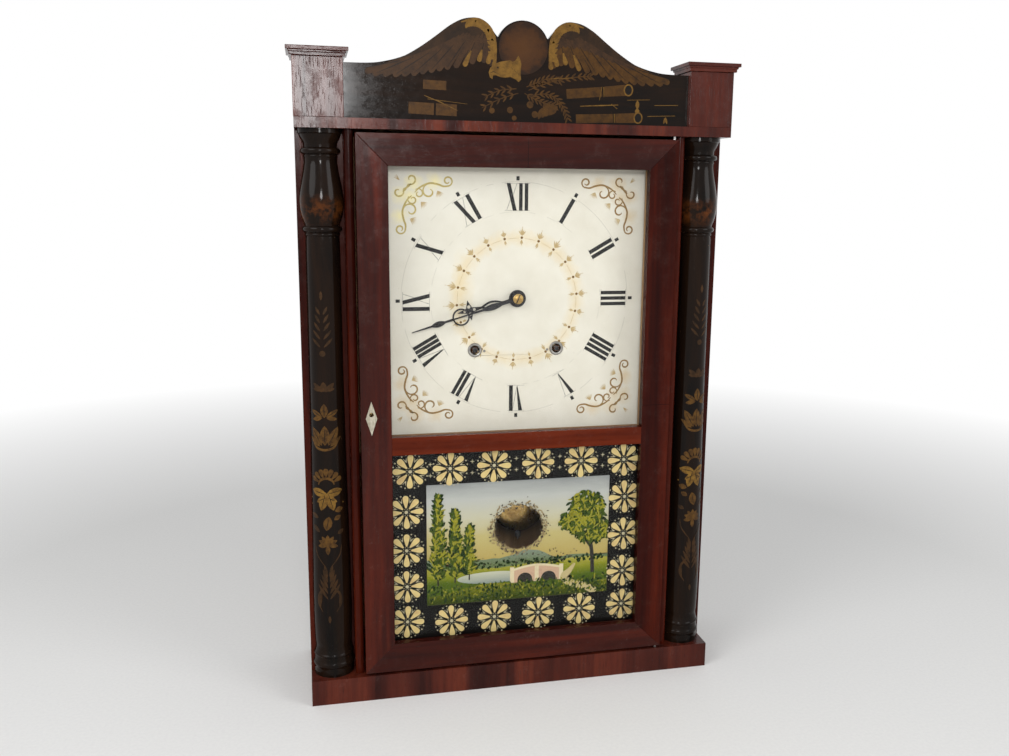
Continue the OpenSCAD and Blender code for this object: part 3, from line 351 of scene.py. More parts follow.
def make_lamps():
    for name, spot, size, watts in LAMPS:
        data = bpy.data.lights.new(name, "AREA")
        data.shape = "DISK"
        data.size = size
        data.energy = watts
        lamp = bpy.data.objects.new(name, data)
        lamp.location = spot
        lamp.rotation_euler = (LAMP_AIM - lamp.location).to_track_quat("-Z", "Y").to_euler()
        bpy.context.scene.collection.objects.link(lamp)


make_lamps()
print("lamps:", ", ".join(lamp[0] for lamp in LAMPS))


# %% [markdown]
# CAD meshes arrive as loose triangles. Their shape is final, but turned parts would look
# faceted and the edges of boards razor sharp. A small geometry node group welds the corners and
# smooths across shallow angles, and a bevel rounds the boards' edges as handling does.
# Both are modifiers, so the CAD meshes themselves stay as they are.

# %% Smooth shading and rounded edges for CAD nodes
SMOOTH_BELOW = math.radians(34)
WELD = 0.00001


def smoothing_group():
    group = bpy.data.node_groups.new("weld_and_smooth", "GeometryNodeTree")
    for way in ("INPUT", "OUTPUT"):
        group.interface.new_socket("Geometry", in_out=way, socket_type="NodeSocketGeometry")
    start = group.nodes.new("NodeGroupInput").outputs[0]
    weld = add(group, "GeometryNodeMergeByDistance", {"Geometry": start, "Distance": WELD})
    inputs = {"Geometry": weld.outputs[0], "Shade Smooth": True}
    smooth = add(group, "GeometryNodeSetShadeSmooth", inputs, domain="FACE")
    angle = add(group, "GeometryNodeInputMeshEdgeAngle").outputs["Unsigned Angle"]
    inputs = {"A": angle, "B": SMOOTH_BELOW}
    steep = add(group, "FunctionNodeCompare", inputs, data_type="FLOAT", operation="GREATER_THAN")
    inputs = {"Geometry": smooth.outputs[0], "Selection": steep.outputs["Result"], "Shade Smooth": False}
    sharp = add(group, "GeometryNodeSetShadeSmooth", inputs, domain="EDGE")
    end = group.nodes.new("NodeGroupOutput")
    group.links.new(sharp.outputs[0], end.inputs[0])
    return group


SMOOTHING = smoothing_group()


def smooth(obj):
    obj.modifiers.new("weld_and_smooth", "NODES").node_group = SMOOTHING


def round_edges(obj, width, segments=2):
    made = obj.modifiers.new("rounded_edges", "BEVEL")
    made.width = width * MM
    made.segments = segments
    made.limit_method = "ANGLE"
    made.angle_limit = math.radians(45)
    made.harden_normals = True


def finish_node(name, material, edge=0.0):
    """Gives a CAD node its material, smooth shading and, on a board, rounded edges."""
    obj = nodes[name]
    obj.data.materials.clear()
    obj.data.materials.append(material)
    smooth(obj)
    if edge:
        round_edges(obj, edge)


# %% [markdown]
# Mahogany veneer has three scales: broad dark and light figure, fibres a millimetre or two
# apart, and fine pores. French polish on top is glossy, with dust and a little crazing.
# All patterns read the object's coordinates, stretched along the grain.

# %% Mahogany
GRAIN_SCALE = {
    "x": (0.055, 1, 1),
    "y": (1, 0.055, 1),
    "z": (1, 1, 0.055),
}
SEAM_MM = 0.5
DUST = (0.25, 0.20, 0.17)


def darker(tone, share):
    return tuple(share * value for value in tone)


def wood(name, grain, dark, middle, light, shift=(0, 0, 0), figure=1.0, gloss=0.2, shine=0.08, seam=None):
    """A wood with its grain along an axis, from its darkest to its lightest tone.

    seam is the axis and the place in millimetres of a dark joint in the veneer.
    """
    material, tree, shader = new_material(name, Specular_IOR_Level=shine)
    place = place_of(tree, GRAIN_SCALE[grain], shift=shift)
    broad = noise(tree, place, 26.0, 3.0, 0.6, 0.9 * figure)
    streaks = noise(tree, place, 170.0, 4.0, 0.6, 0.3)
    pores = noise(tree, place, 1300.0, 2.0, 0.5)
    tone = ramp(tree, broad, [(0.33, dark), (0.66, light), (0.5, middle)])
    lines = spread(tree, streaks, 0.35, 0.68)
    tone = mix(tree, times(tree, lines, 0.42), tone, dark)
    specks = spread(tree, pores, 0.60, 0.72)
    tone = mix(tree, times(tree, specks, 0.6), tone, darker(dark, 0.35))
    plain = place_of(tree)
    if seam:
        off = maths(tree, "ABSOLUTE", minus(tree, axis_of(tree, plain, seam[0]), seam[1] * MM))
        tone = mix(tree, spread(tree, off, SEAM_MM * MM, 0.0, 0.0, 0.8), tone, darker(dark, 0.2))
    dust = spread(tree, noise(tree, plain, 60.0, 5.0, 0.7), 0.5, 0.8)
    tone = mix(tree, times(tree, dust, 0.03), tone, DUST)
    rough = plus(tree, times(tree, dust, 0.22), gloss)
    rough = plus(tree, rough, times(tree, specks, 0.12))
    height = minus(tree, times(tree, streaks, 0.25), times(tree, specks, 0.5))
    waves = noise(tree, plain, 45.0, 2.0)
    height = plus(tree, height, times(tree, waves, 1.2))
    dress(tree, shader, tone, rough, bump(tree, height, 0.35, 0.25))
    return material


# %% Case boards and door in mahogany
DEEP_RED = [(0.013, 0.0020, 0.0014), (0.038, 0.0046, 0.0020), (0.082, 0.0100, 0.0032)]
WARM_RED = [(0.036, 0.0055, 0.0025), (0.092, 0.0120, 0.0035), (0.185, 0.028, 0.008)]
BROWN_RED = [(0.024, 0.0048, 0.0034), (0.070, 0.0125, 0.0070), (0.120, 0.023, 0.0110)]
CASE_PARTS = [
    ("base_rail", "z", BROWN_RED, 0.6, (0, 0, 0.4)),
    ("side_boards", "z", DEEP_RED, 0.6, (0.3, 0, 0)),
    ("top_board", "z", BROWN_RED, 0.5, (0.1, 0, 0.7)),
    ("column_boards", "z", DEEP_RED, 0.4, (0.7, 0, 0)),
    ("bead_strips", "z", DEEP_RED, 0.5, (0.2, 0.5, 0)),
    ("chimneys", "z", BROWN_RED, 0.5, (0.9, 0.1, 0)),
    ("chimney_caps", "x", BROWN_RED, 0.4, (0, 0.4, 0)),
    ("door_left_stile", "z", DEEP_RED, 0.5, (0.55, 0, 0)),
    ("door_right_stile", "z", DEEP_RED, 0.5, (0.15, 0, 0.2)),
    ("door_top_rail", "x", DEEP_RED, 0.5, (0, 0, 0.35)),
    ("door_middle_rail", "x", WARM_RED, 0.4, (0, 0, 0.8)),
    ("door_bottom_rail", "x", DEEP_RED, 0.5, (0, 0, 0.15)),
]
POLISHED = [
    "chimneys", "chimney_caps", "top_board", "door_left_stile", "door_top_rail", "base_rail",
    "door_bottom_rail",
]
POLISHED_SHINE = 0.16
RUBBED_SHINE = 0.07
SEAMS = {"door_right_stile": ("Z", 304.0), "door_top_rail": ("X", 5.0)}
for part, grain, tones, edge, shift in CASE_PARTS:
    shine = POLISHED_SHINE if part in POLISHED else RUBBED_SHINE
    veneer = wood(part + "_veneer", grain, *tones, shift=shift, gloss=0.17, shine=shine, seam=SEAMS.get(part))
    finish_node(part, veneer, edge)
print("mahogany parts:", len(CASE_PARTS))

# %% [markdown]
# Inside, the boards are raw pine and the movement is cherry, oiled and gone brown. The base's
# ends are stained. All are matt next to the veneer, with the same wood graph and other tones.

# %% Pine and cherry
PINE = [(0.15, 0.085, 0.045), (0.26, 0.155, 0.080), (0.36, 0.23, 0.125)]
STAINED = [(0.034, 0.011, 0.006), (0.070, 0.022, 0.010), (0.115, 0.040, 0.017)]
CHERRY = [(0.085, 0.032, 0.014), (0.17, 0.070, 0.030), (0.25, 0.115, 0.052)]
pine_long = wood("raw_pine_along_x", "x", *PINE, gloss=0.55, figure=0.6)
pine_tall = wood("raw_pine_upright", "z", *PINE, gloss=0.55, figure=0.6)
stained_pine = wood("stained_pine", "x", *STAINED, gloss=0.45, figure=0.6)
cherry_tall = wood("cherry_plates", "z", *CHERRY, gloss=0.38)
cherry_flat = wood("cherry_wheels", "x", *CHERRY, gloss=0.36, shift=(0, 0, 0.3))
BOARDS = {
    "base_boards": stained_pine, "back_board": pine_tall, "inner_cleats": pine_long,
    "front_plate": cherry_tall, "back_plate": cherry_tall,
}
for part, material in BOARDS.items():
    finish_node(part, material, 0.4)
CHERRY_WHEELS = [
    "pillars_and_studs", "time_drum", "time_great_wheel", "second_wheel", "third_wheel", "escape_wheel",
    "cannon_wheel", "motion_wheel", "minute_wheel", "hour_wheel", "strike_drum", "strike_great_wheel",
    "pin_wheel", "warning_wheel", "fly", "count_wheel", "time_pulley", "strike_pulley",
]
for part in CHERRY_WHEELS:
    finish_node(part, cherry_flat)


# %% [markdown]
# Metals here are old: brass has gone brown with brighter rubbed places, steel is grey and dull,
# the hands are blackened, and the weights are rough cast iron with rust.

# %% Metals
def metal(name, bright, dull, low, high, size, speckle=0.5, bump_mm=0.04):
    """An aged metal that goes from a bright to a dull tone in patches of a size in millimetres."""
    material, tree, shader = new_material(name, Metallic=1.0)
    place = place_of(tree)
    patches = noise(tree, place, 1000.0 / size, 5.0, 0.65)
    fine = noise(tree, place, 6000.0 / size, 3.0)
    age = spread(tree, patches, 0.35, 0.68)
    grain = spread(tree, fine, 0.45, 0.75)
    tone = mix(tree, age, bright, dull)
    tone = mix(tree, times(tree, grain, speckle), tone, darker(dull, 0.4))
    rough = spread(tree, plus(tree, patches, times(tree, fine, 0.3)), 0.4, 0.95, low, high)
    dress(tree, shader, tone, rough, bump(tree, fine, 0.3, bump_mm))
    return material


old_brass = metal("old_brass", (0.60, 0.40, 0.15), (0.33, 0.20, 0.075), 0.16, 0.42, 14.0)
rubbed_brass = metal("rubbed_brass", (0.68, 0.49, 0.21), (0.42, 0.27, 0.10), 0.18, 0.40, 6.0)
bell_brass = metal("bell_brass", (0.52, 0.36, 0.15), (0.24, 0.15, 0.065), 0.22, 0.5, 22.0)
grey_steel = metal("grey_steel", (0.40, 0.39, 0.38), (0.20, 0.185, 0.175), 0.28, 0.55, 5.0)
black_steel = metal("black_steel", (0.060, 0.060, 0.066), (0.030, 0.028, 0.028), 0.30, 0.52, 7.0, 0.3)
rough_iron = metal("rough_iron", (0.085, 0.070, 0.060), (0.060, 0.034, 0.022), 0.6, 0.85, 10.0, 0.6, 0.35)
METAL_PARTS = {
    "pendulum_bob": old_brass, "bell": bell_brass, "lock_bolt": rubbed_brass,
    "minute_hand": black_steel, "hour_hand": black_steel,
    "suspension_cock": rough_iron, "time_weight": rough_iron, "strike_weight": rough_iron,
}
STEEL_PARTS = [
    "winding_eyelets", "hinge_pins", "lock_case", "verge", "time_click", "strike_click", "pendulum_rod",
    "hammer",
]
METAL_PARTS.update({part: grey_steel for part in STEEL_PARTS})
for part, material in METAL_PARTS.items():
    finish_node(part, material)
for part in ("minute_hand", "hour_hand"):
    round_edges(nodes[part], 0.18, 1)


# %% [markdown]
# Columns and crest are lacquered a brown that is nearly black. Where hands and sun reached it the
# lacquer is thin and warm brown shows, most on the swell of each vase. The same graph serves both,
# with the warm patch given as a height range.

# %% Lacquer
def lacquer(name, warm_from=0.0, warm_to=0.0, streak=(1, 1, 0.12), shine=0.10):
    material, tree, shader = new_material(name, Specular_IOR_Level=shine)
    plain = place_of(tree)
    place = place_of(tree, streak)
    cloud = noise(tree, place, 45.0, 5.0, 0.6, 0.8)
    scuffs = spread(tree, noise(tree, plain, 420.0, 4.0, 0.7), 0.60, 0.78)
    tone = ramp(tree, cloud, [(0.35, (0.0038, 0.0027, 0.0022)), (0.72, (0.015, 0.0066, 0.0030))])
    if warm_to:
        height = axis_of(tree, plain, "Z")
        middle = (warm_from + warm_to) / 2 * MM
        half = (warm_to - warm_from) / 2 * MM
        near = spread(tree, maths(tree, "ABSOLUTE", minus(tree, height, middle)), half, 0.0)
        patch = times(tree, near, spread(tree, noise(tree, plain, 90.0, 4.0, 0.7), 0.42, 0.62))
        tone = mix(tree, times(tree, patch, 0.75), tone, (0.12, 0.034, 0.0065))
    tone = mix(tree, times(tree, scuffs, 0.10), tone, (0.06, 0.035, 0.018))
    scratched = times(tree, scuffs, 0.2)
    rough = spread(tree, noise(tree, plain, 130.0, 4.0, 0.6), 0.3, 0.8, 0.07, 0.20)
    height = plus(tree, noise(tree, place, 60.0, 2.0), scratched)
    dress(tree, shader, tone, plus(tree, rough, scratched), bump(tree, height, 0.3, 0.4))
    return material


column_low, column_high = extent("columns")
VASE_LOW = column_low.z + 458.6
VASE_SWELL = 34
finish_node("columns", lacquer("column_lacquer", VASE_LOW + 2, VASE_LOW + VASE_SWELL))
finish_node("crest", lacquer("crest_lacquer", streak=(0.12, 1, 1), shine=0.12), 0.35)


# %% [markdown]
# The dial board is painted cream. A century of winding has left it with warm stains: a ring round
# the dots where the gilding has bled, a smear at nine o'clock, and yellow in the corners.
# Mirrored coordinates place the four corner halos with one small graph.

# %% Dial paint
DOT_RING_R = 62.8
DIAL_SIDE = extent("dial")[1].x
CORNER_HALOS = [(104, 116, 13), (117, 104, 13), (84, 117, 12), (119, 84, 12), (108, 103, 12)]


def ring_stain(tree, flat, wander):
    """Where the gilding of the dots has bled into the paint."""
    off_ring = maths(tree, "ABSOLUTE", minus(tree, length_of(tree, flat), DOT_RING_R * MM))
    return spread(tree, plus(tree, off_ring, wander), 0.017, 0.004)


def hand_smear(tree, flat, wander):
    """A smear at nine o'clock, three times as wide as it is high."""
    off = vector_maths(tree, "SUBTRACT", flat, (-0.056, 0, 0.016))
    off = vector_maths(tree, "MULTIPLY", off, (1, 0, 0.33))
    return spread(tree, plus(tree, length_of(tree, off), wander), 0.020, 0.006)


def corner_halo(tree, flat, wander):
    """Overlapping round stains in all four corners."""
    mirrored = vector_maths(tree, "ABSOLUTE", flat)
    halo = None
    for x, z, reach in CORNER_HALOS:
        off = vector_maths(tree, "SUBTRACT", mirrored, (x * MM, 0, z * MM))
        near = spread(tree, plus(tree, length_of(tree, off), wander), (reach + 5) * MM, 3 * MM)
        halo = near if halo is None else maths(tree, "MAXIMUM", halo, near)
    return halo


def dial_paint():
    material, tree, shader = new_material("dial_paint", Specular_IOR_Level=0.3)
    plain = place_of(tree)
    centre = at(RING_X, 0, RING_Z)
    local = vector_maths(tree, "SUBTRACT", plain, (centre.x, 0, centre.z))
    flat = vector_maths(tree, "MULTIPLY", local, (1, 0, 1))
    parts = add(tree, "ShaderNodeSeparateXYZ", {0: flat}).outputs
    cloud = noise(tree, plain, 26.0, 5.0, 0.65)
    wander = times(tree, noise(tree, plain, 120.0, 4.0, 0.7), 0.014)
    tone = ramp(tree, cloud, [(0.3, (0.69, 0.655, 0.57)), (0.7, (0.77, 0.740, 0.665))])
    cool = spread(tree, minus(tree, parts["Z"], parts["X"]), 0.05, 0.24)
    tone = mix(tree, times(tree, cool, 0.4), tone, (0.64, 0.63, 0.58))
    tone = mix(tree, times(tree, ring_stain(tree, flat, wander), 0.62), tone, (0.72, 0.56, 0.30))
    tone = mix(tree, times(tree, hand_smear(tree, flat, wander), 0.5), tone, (0.72, 0.58, 0.33))
    upper = spread(tree, parts["Z"], 0.05, 0.08)
    upper_left = times(tree, spread(tree, parts["X"], -0.05, -0.08), upper)
    stain = mix(tree, upper_left, (0.64, 0.45, 0.20), (0.90, 0.80, 0.36))
    strength = plus(tree, times(tree, upper_left, 0.20), 0.70)
    tone = mix(tree, times(tree, corner_halo(tree, flat, wander), strength), tone, stain)
    specks = spread(tree, noise(tree, plain, 700.0, 2.0, 0.4), 0.73, 0.80)
    tone = mix(tree, times(tree, specks, 0.5), tone, (0.30, 0.24, 0.16))
    side = maths(tree, "ABSOLUTE", axis_of(tree, plain, "X"))
    bare = spread(tree, side, (DIAL_SIDE - 2.5) * MM, (DIAL_SIDE - 1.5) * MM)
    tone = mix(tree, bare, tone, (0.030, 0.018, 0.010))
    brushed = times(tree, noise(tree, place_of(tree, (0.08, 1, 1)), 350.0), 0.6)
    height = plus(tree, noise(tree, plain, 900.0, 4.0, 0.6), brushed)
    dress(tree, shader, tone, spread(tree, cloud, 0.3, 0.8, 0.42, 0.6), bump(tree, height, 0.25, 0.08))
    return material


finish_node("dial", dial_paint(), 0.5)


# %% [markdown]
# Old window glass is nearly invisible from the front: it lets light through and mirrors a little,
# more at a slant. Mixing a transparent and a glossy shader by the slant does that without the cost
# and the darkening of real refraction, and it exports as a transparent surface. The share follows
# Schlick's formula, which is the same on both faces of the pane. A Fresnel node would turn the
# back face into a full mirror at a slant, as it does under water.

# %% Glass
STRAIGHT_MIRROR = 0.0055
SLANT_MIRROR = 0.85


def pane_glass(name, tint):
    material, tree, shader = new_material(name)
    tree.nodes.remove(shader)
    ripple = noise(tree, place_of(tree), 22.0, 2.0)
    normal = bump(tree, ripple, 0.25, 1.2)
    mirror = add(tree, "ShaderNodeBsdfGlossy", {"Color": (1, 1, 1, 1), "Roughness": 0.05, "Normal": normal})
    clear = add(tree, "ShaderNodeBsdfTransparent", {"Color": (*tint, 1)})
    facing = add(tree, "ShaderNodeLayerWeight", {"Blend": 0.5, "Normal": normal}).outputs["Facing"]
    slant = times(tree, maths(tree, "POWER", facing, 5.0), SLANT_MIRROR)
    share = plus(tree, slant, STRAIGHT_MIRROR)
    end_with(tree, add(tree, "ShaderNodeMixShader", {0: share, 1: clear.outputs[0], 2: mirror.outputs[0]}))
    return material


finish_node("dial_glass", pane_glass("dial_pane", (0.985, 0.985, 0.975)))
finish_node("tablet_glass", pane_glass("tablet_pane", (0.98, 0.985, 0.98)))


# %% Bone escutcheon
def bone():
    material, tree, shader = new_material("old_bone", Specular_IOR_Level=0.45)
    place = place_of(tree, (1, 1, 0.1))
    fibres = noise(tree, place, 900.0, 4.0, 0.6)
    cloud = noise(tree, place_of(tree), 220.0, 4.0, 0.6)
    tone = ramp(tree, fibres, [(0.35, (0.30, 0.27, 0.20)), (0.65, (0.52, 0.48, 0.38))])
    tone = mix(tree, spread(tree, cloud, 0.45, 0.7, 0.0, 0.55), tone, (0.20, 0.17, 0.12))
    dress(tree, shader, tone, spread(tree, cloud, 0.3, 0.7, 0.28, 0.5), bump(tree, fibres, 0.3, 0.08))
    return material


finish_node("escutcheon", bone(), 0.2)

# %% Hemp for the cords
def hemp(name):
    material, tree, shader = new_material(name, Roughness=0.85, Specular_IOR_Level=0.2)
    fibres = noise(tree, place_of(tree), 2200.0, 4.0, 0.7)
    cloud = noise(tree, place_of(tree), 90.0, 3.0)
    tone = ramp(tree, fibres, [(0.3, (0.17, 0.12, 0.065)), (0.7, (0.46, 0.36, 0.22))])
    tone = mix(tree, spread(tree, cloud, 0.4, 0.7, 0.0, 0.5), tone, (0.16, 0.115, 0.07))
    dress(tree, shader, tone, relief=bump(tree, fibres, 0.6, 0.15))
    return material


hemp_cord = hemp("hemp_cord")
for part in ("cord_runs", "time_weight_cord", "strike_weight_cord"):
    finish_node(part, hemp_cord)


# %% [markdown]
# Painted and gilded ornament is modelled as thin leaf on the surface it decorates. Each shape
# is drawn as an outline in millimetres, x to the right and z up, as the painter would see it.
# A few outline makers do for the whole clock: discs, petals, leaves and strokes of a brush.

# %% Outlines of painted shapes
def polar(centre, radius, angle):
    """The point at a distance and a clock angle in degrees from a centre."""
    way = math.radians(angle)
    return (centre[0] + radius * math.sin(way), centre[1] + radius * math.cos(way))


def between(first, second, share):
    return (first[0] + (second[0] - first[0]) * share, first[1] + (second[1] - first[1]) * share)


def heading(first, second):
    """The clock angle of the way from one point to another, in degrees."""
    return math.degrees(math.atan2(second[0] - first[0], second[1] - first[1]))


def turned(points, angle, x=0.0, z=0.0, size=1.0):
    """Points turned clockwise by an angle in degrees, then moved to x, z."""
    c = math.cos(math.radians(angle)) * size
    s = math.sin(math.radians(angle)) * size
    return [(x + px * c + pz * s, z - px * s + pz * c) for px, pz in points]


def oval(centre, wide, high, sides, count=None):
    """Points round an oval, clockwise from its top, with its half width and half height."""
    steps = [k * math.tau / sides for k in range(count or sides)]
    return [(centre[0] + wide * math.sin(a), centre[1] + high * math.cos(a)) for a in steps]


def disc(x, z, r, sides):
    return oval((x, z), r, r, sides)


def leaf(x, z, angle, length, width, steps):
    """A leaf that starts at x, z, points along a clock angle and is sharp at both ends."""
    side = [(width / 2 * math.sin(math.pi * k / steps) ** 0.8, length * k / steps) for k in range(steps + 1)]
    other = [(-px, pz) for px, pz in reversed(side[1:-1])]
    return turned(side + other, angle, x, z)


FULLNESS = 1.3
TAPER = 0.3


def petal(x, z, angle, length, width, root, steps):
    """A drop: narrow at its root on x, z, full and round at its far end."""
    side = []
    for k in range(steps + 1):
        share = k / steps
        half = width / 2 * (root + (1 - root) * math.sin(share * math.pi / 2) ** FULLNESS)
        side.append((half, (length - width / 2) * share))
    full = width / 2
    cap = [(full * math.cos(a), length - full + full * math.sin(a)) for a in (0.35, 0.75, 1.15, 1.57)]
    half_outline = side + cap
    other = [(-px, pz) for px, pz in reversed(half_outline[:-1])]
    return turned(half_outline + other, angle, x, z)


def along(points, steps=6):
    """A smooth line through points, by Catmull-Rom curves."""
    line = []
    ends = [points[0]] + list(points) + [points[-1]]
    for a, b, c, d in zip(ends, ends[1:], ends[2:], ends[3:]):
        for k in range(steps):
            t = k / steps
            line.append(tuple(
                0.5 * (2 * b[i] + (c[i] - a[i]) * t + (2 * a[i] - 5 * b[i] + 4 * c[i] - d[i]) * t * t
                       + (3 * b[i] - a[i] - 3 * c[i] + d[i]) * t ** 3)
                for i in (0, 1)))
    line.append(tuple(points[-1]))
    return line


def stroke(line, wide, start=0.25, end=0.25):
    """A brush stroke along a line, thinner at its ends."""
    left = []
    right = []
    last = len(line) - 1
    for k, (x, z) in enumerate(line):
        before = line[max(k - 1, 0)]
        after = line[min(k + 1, last)]
        dx = after[0] - before[0]
        dz = after[1] - before[1]
        size = math.hypot(dx, dz) or 1.0
        share = k / last
        taper = min(start + (1 - start) * share / TAPER, end + (1 - end) * (1 - share) / TAPER, 1.0)
        half = wide / 2 * taper
        left.append((x - dz / size * half, z + dx / size * half))
        right.append((x + dz / size * half, z - dx / size * half))
    return left + right[::-1]


def spiral(x, z, r, begin, turn, tighten=0.35, steps=18):
    """Points of a spiral round x, z from radius r inwards, begin and turn in degrees, clockwise."""
    line = []
    for k in range(steps + 1):
        share = k / steps
        angle = math.radians(begin + turn * share)
        reach = r * (1 - (1 - tighten) * share)
        line.append((x + reach * math.sin(angle), z + reach * math.cos(angle)))
    return line


# %% [markdown]
# Outlines become pieces of leaf: each outline is made a face, the faces are extruded to a closed
# sheet a few hundredths of a millimetre thick, and the sheet is laid on a plane that faces the
# viewer. Its front is towards the viewer, at a smaller y.

# %% From outlines to leaf
LEAF = 0.05
STAGGER = 0.003
STAGGERS = 7


def end_in_metres(bm, name, material, body, soft=True):
    """Moves a bmesh in millimetres of the case's frame to the scene and ends it as a piece."""
    bmesh.ops.transform(bm, matrix=TO_SCENE, verts=bm.verts)
    bmesh.ops.recalc_face_normals(bm, faces=bm.faces[:])
    mesh = bpy.data.meshes.new(name)
    bm.to_mesh(mesh)
    bm.free()
    mesh.materials.append(material)
    obj = bpy.data.objects.new(name, mesh)
    bpy.context.scene.collection.objects.link(obj)
    if body:
        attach(obj, body)
    if soft:
        smooth(obj)
    return obj


def thicken(bm, thick=0.0):
    """Extrudes all faces towards the viewer, and gives the corners that moved."""
    made = bmesh.ops.extrude_face_region(bm, geom=bm.faces[:], use_keep_orig=True)
    lifted = [item for item in made["geom"] if isinstance(item, bmesh.types.BMVert)]
    if thick:
        bmesh.ops.translate(bm, vec=(0, -thick, 0), verts=lifted)
    return lifted


def sheet_of(outlines, back, thick):
    """A bmesh with every outline as a closed thin sheet whose back is at y = back.

    Outlines may cross, so each starts a few thousandths of a millimetre ahead of the one before.
    """
    bm = bmesh.new()
    for k, outline in enumerate(outlines):
        y = back - STAGGER * (k % STAGGERS)
        bm.faces.new([bm.verts.new((x, y, z)) for x, z in outline])
    thicken(bm, thick)
    return bm


def flat_leaf(name, outlines, back, material, body="case", thick=LEAF):
    """Leaf or paint on a flat surface at y = back, seen from the front."""
    obj = end_in_metres(sheet_of(outlines, back, thick), name, material, body, soft=False)
    print(name, len(outlines), "shapes,", len(obj.data.polygons), "faces")


def on_dial(name, outlines, material, thick=LEAF):
    flat_leaf(name, outlines, DIAL_FACE, material, thick=thick)


# %% [markdown]
# Paint and gilding are never even. Both materials mix a fresh and a worn tone by noise, and the
# gilding loses metal where it is worn through.

# %% Paints and gilding
def paint(name, fresh, worn, patch_mm=6.0, wear=0.5, rough=0.5, metallic=0.0):
    material, tree, shader = new_material(name, Metallic=metallic, Specular_IOR_Level=0.12)
    place = place_of(tree)
    patches = noise(tree, place, 1000.0 / patch_mm, 5.0, 0.7)
    grain = noise(tree, place, 2600.0, 3.0, 0.6)
    both = plus(tree, times(tree, patches, 0.65), times(tree, grain, 0.35))
    share = spread(tree, both, 0.64 - 0.28 * wear, 0.70 - 0.10 * wear)
    gloss = spread(tree, grain, 0.3, 0.7, rough - 0.08, rough + 0.1)
    dress(tree, shader, mix(tree, share, fresh, worn), gloss, bump(tree, grain, 0.25, 0.05))
    return material


numeral_black = paint("numeral_black", (0.018, 0.018, 0.019), (0.085, 0.083, 0.078), 3.0, 0.55, 0.5)
faded_line = paint("faded_line", (0.42, 0.40, 0.35), (0.60, 0.57, 0.50), 8.0, 0.5, 0.55)
scroll_tan = paint("scroll_tan", (0.27, 0.165, 0.062), (0.50, 0.36, 0.17), 4.0, 0.35, 0.45)
scroll_yellow = paint("scroll_yellow", (0.45, 0.36, 0.13), (0.70, 0.60, 0.28), 4.0, 0.4, 0.45)
sprig_tan = paint("sprig_tan", (0.46, 0.34, 0.17), (0.66, 0.55, 0.36), 4.0, 0.5, 0.5)
dot_brown = paint("dot_brown", (0.17, 0.095, 0.03), (0.36, 0.25, 0.11), 2.0, 0.4, 0.35)


# %% [markdown]
# Numerals stand with their feet towards the centre. Each is built from bars, which are the thick
# strokes between two radii, and from the slanted strokes of V and X. The thin strokes have worn
# to a hair. Positions are the distances, clockwise, of each glyph's middle from its hour line.
# A square marks each hour outside the ring.

# %% Numerals
BAR_IN = 89.5
BAR_OUT = 116.8
BAR_W = 4.0
CROWDED_BAR_W = 3.6
GLYPH_HALF = 5.6
HAIR = 0.35
MARK = (3.2, 119.4, 123.6)
NUMERALS = {
    1: [("bar", 0.0)],
    2: [("bar", -2.9), ("bar", 2.9)],
    3: [("bar", -5.8), ("bar", 0.0), ("bar", 5.8)],
    4: [("bar", -7.9), ("bar", -2.65), ("bar", 2.65), ("bar", 7.9)],
    5: [("vee", 0.0)],
    6: [("vee", -1.6), ("bar", 5.4)],
    7: [("vee", -3.2), ("bar", 4.8), ("bar", 9.9)],
    8: [("vee", -5.8), ("bar", 1.5), ("bar", 6.1), ("bar", 10.7)],
    9: [("bar", -8.2), ("ex", 1.8)],
    10: [("ex", 0.0)],
    11: [("ex", -2.6), ("bar", 7.6)],
    12: [("ex", -6.2), ("bar", 3.1), ("bar", 8.9)],
}


def bar_at(middle, width=BAR_W, low=BAR_IN, high=BAR_OUT):
    half = width / 2
    return [(middle - half, low), (middle + half, low), (middle + half, high), (middle - half, high)]


def thick_vee(middle):
    """The thick stroke of a V: from its outer left to a point at its inner middle."""
    feet = [(-5.2, BAR_OUT), (-1.0, BAR_OUT), (0.9, BAR_IN + 4), (0.3, BAR_IN)]
    return [(middle + x, z) for x, z in feet]


def thick_ex(middle):
    """The thick stroke of an X: from its outer left to its inner right."""
    feet = [(-5.4, BAR_OUT), (-1.4, BAR_OUT), (5.2, BAR_IN), (1.2, BAR_IN)]
    return [(middle + x, z) for x, z in feet]


def thin_line(x0, z0, x1, z1, width):
    return stroke([(x0, z0), ((x0 + x1) / 2, (z0 + z1) / 2), (x1, z1)], width, 1.0, 1.0)


def numeral(hour):
    strokes = []
    hairs = []
    reaches = [(middle, BAR_W / 2 if kind == "bar" else GLYPH_HALF) for kind, middle in NUMERALS[hour]]
    left = min(middle - reach for middle, reach in reaches)
    right = max(middle + reach for middle, reach in reaches)
    for kind, middle in NUMERALS[hour]:
        if kind == "bar":
            strokes.append(bar_at(middle, CROWDED_BAR_W if len(NUMERALS[hour]) > 2 else BAR_W))
        elif kind == "vee":
            strokes.append(thick_vee(middle))
            hairs.append(thin_line(middle + 0.8, BAR_IN + 1.5, middle + 5.2, BAR_OUT - 0.8, 0.5))
        else:
            strokes.append(thick_ex(middle))
            hairs.append(thin_line(middle - 5.0, BAR_IN + 0.8, middle - 1.3, 101.0, 0.5))
            hairs.append(thin_line(middle + 1.2, 104.5, middle + 5.0, BAR_OUT - 0.8, 0.5))
    for radius in (BAR_IN + 0.3, BAR_OUT - 0.3):
        hairs.append(thin_line(left - 1.6, radius, right + 1.6, radius, HAIR))
    angle = 30.0 * hour
    place = [turned(outline, angle, RING_X, RING_Z) for outline in strokes]
    return place, [turned(outline, angle, RING_X, RING_Z) for outline in hairs]


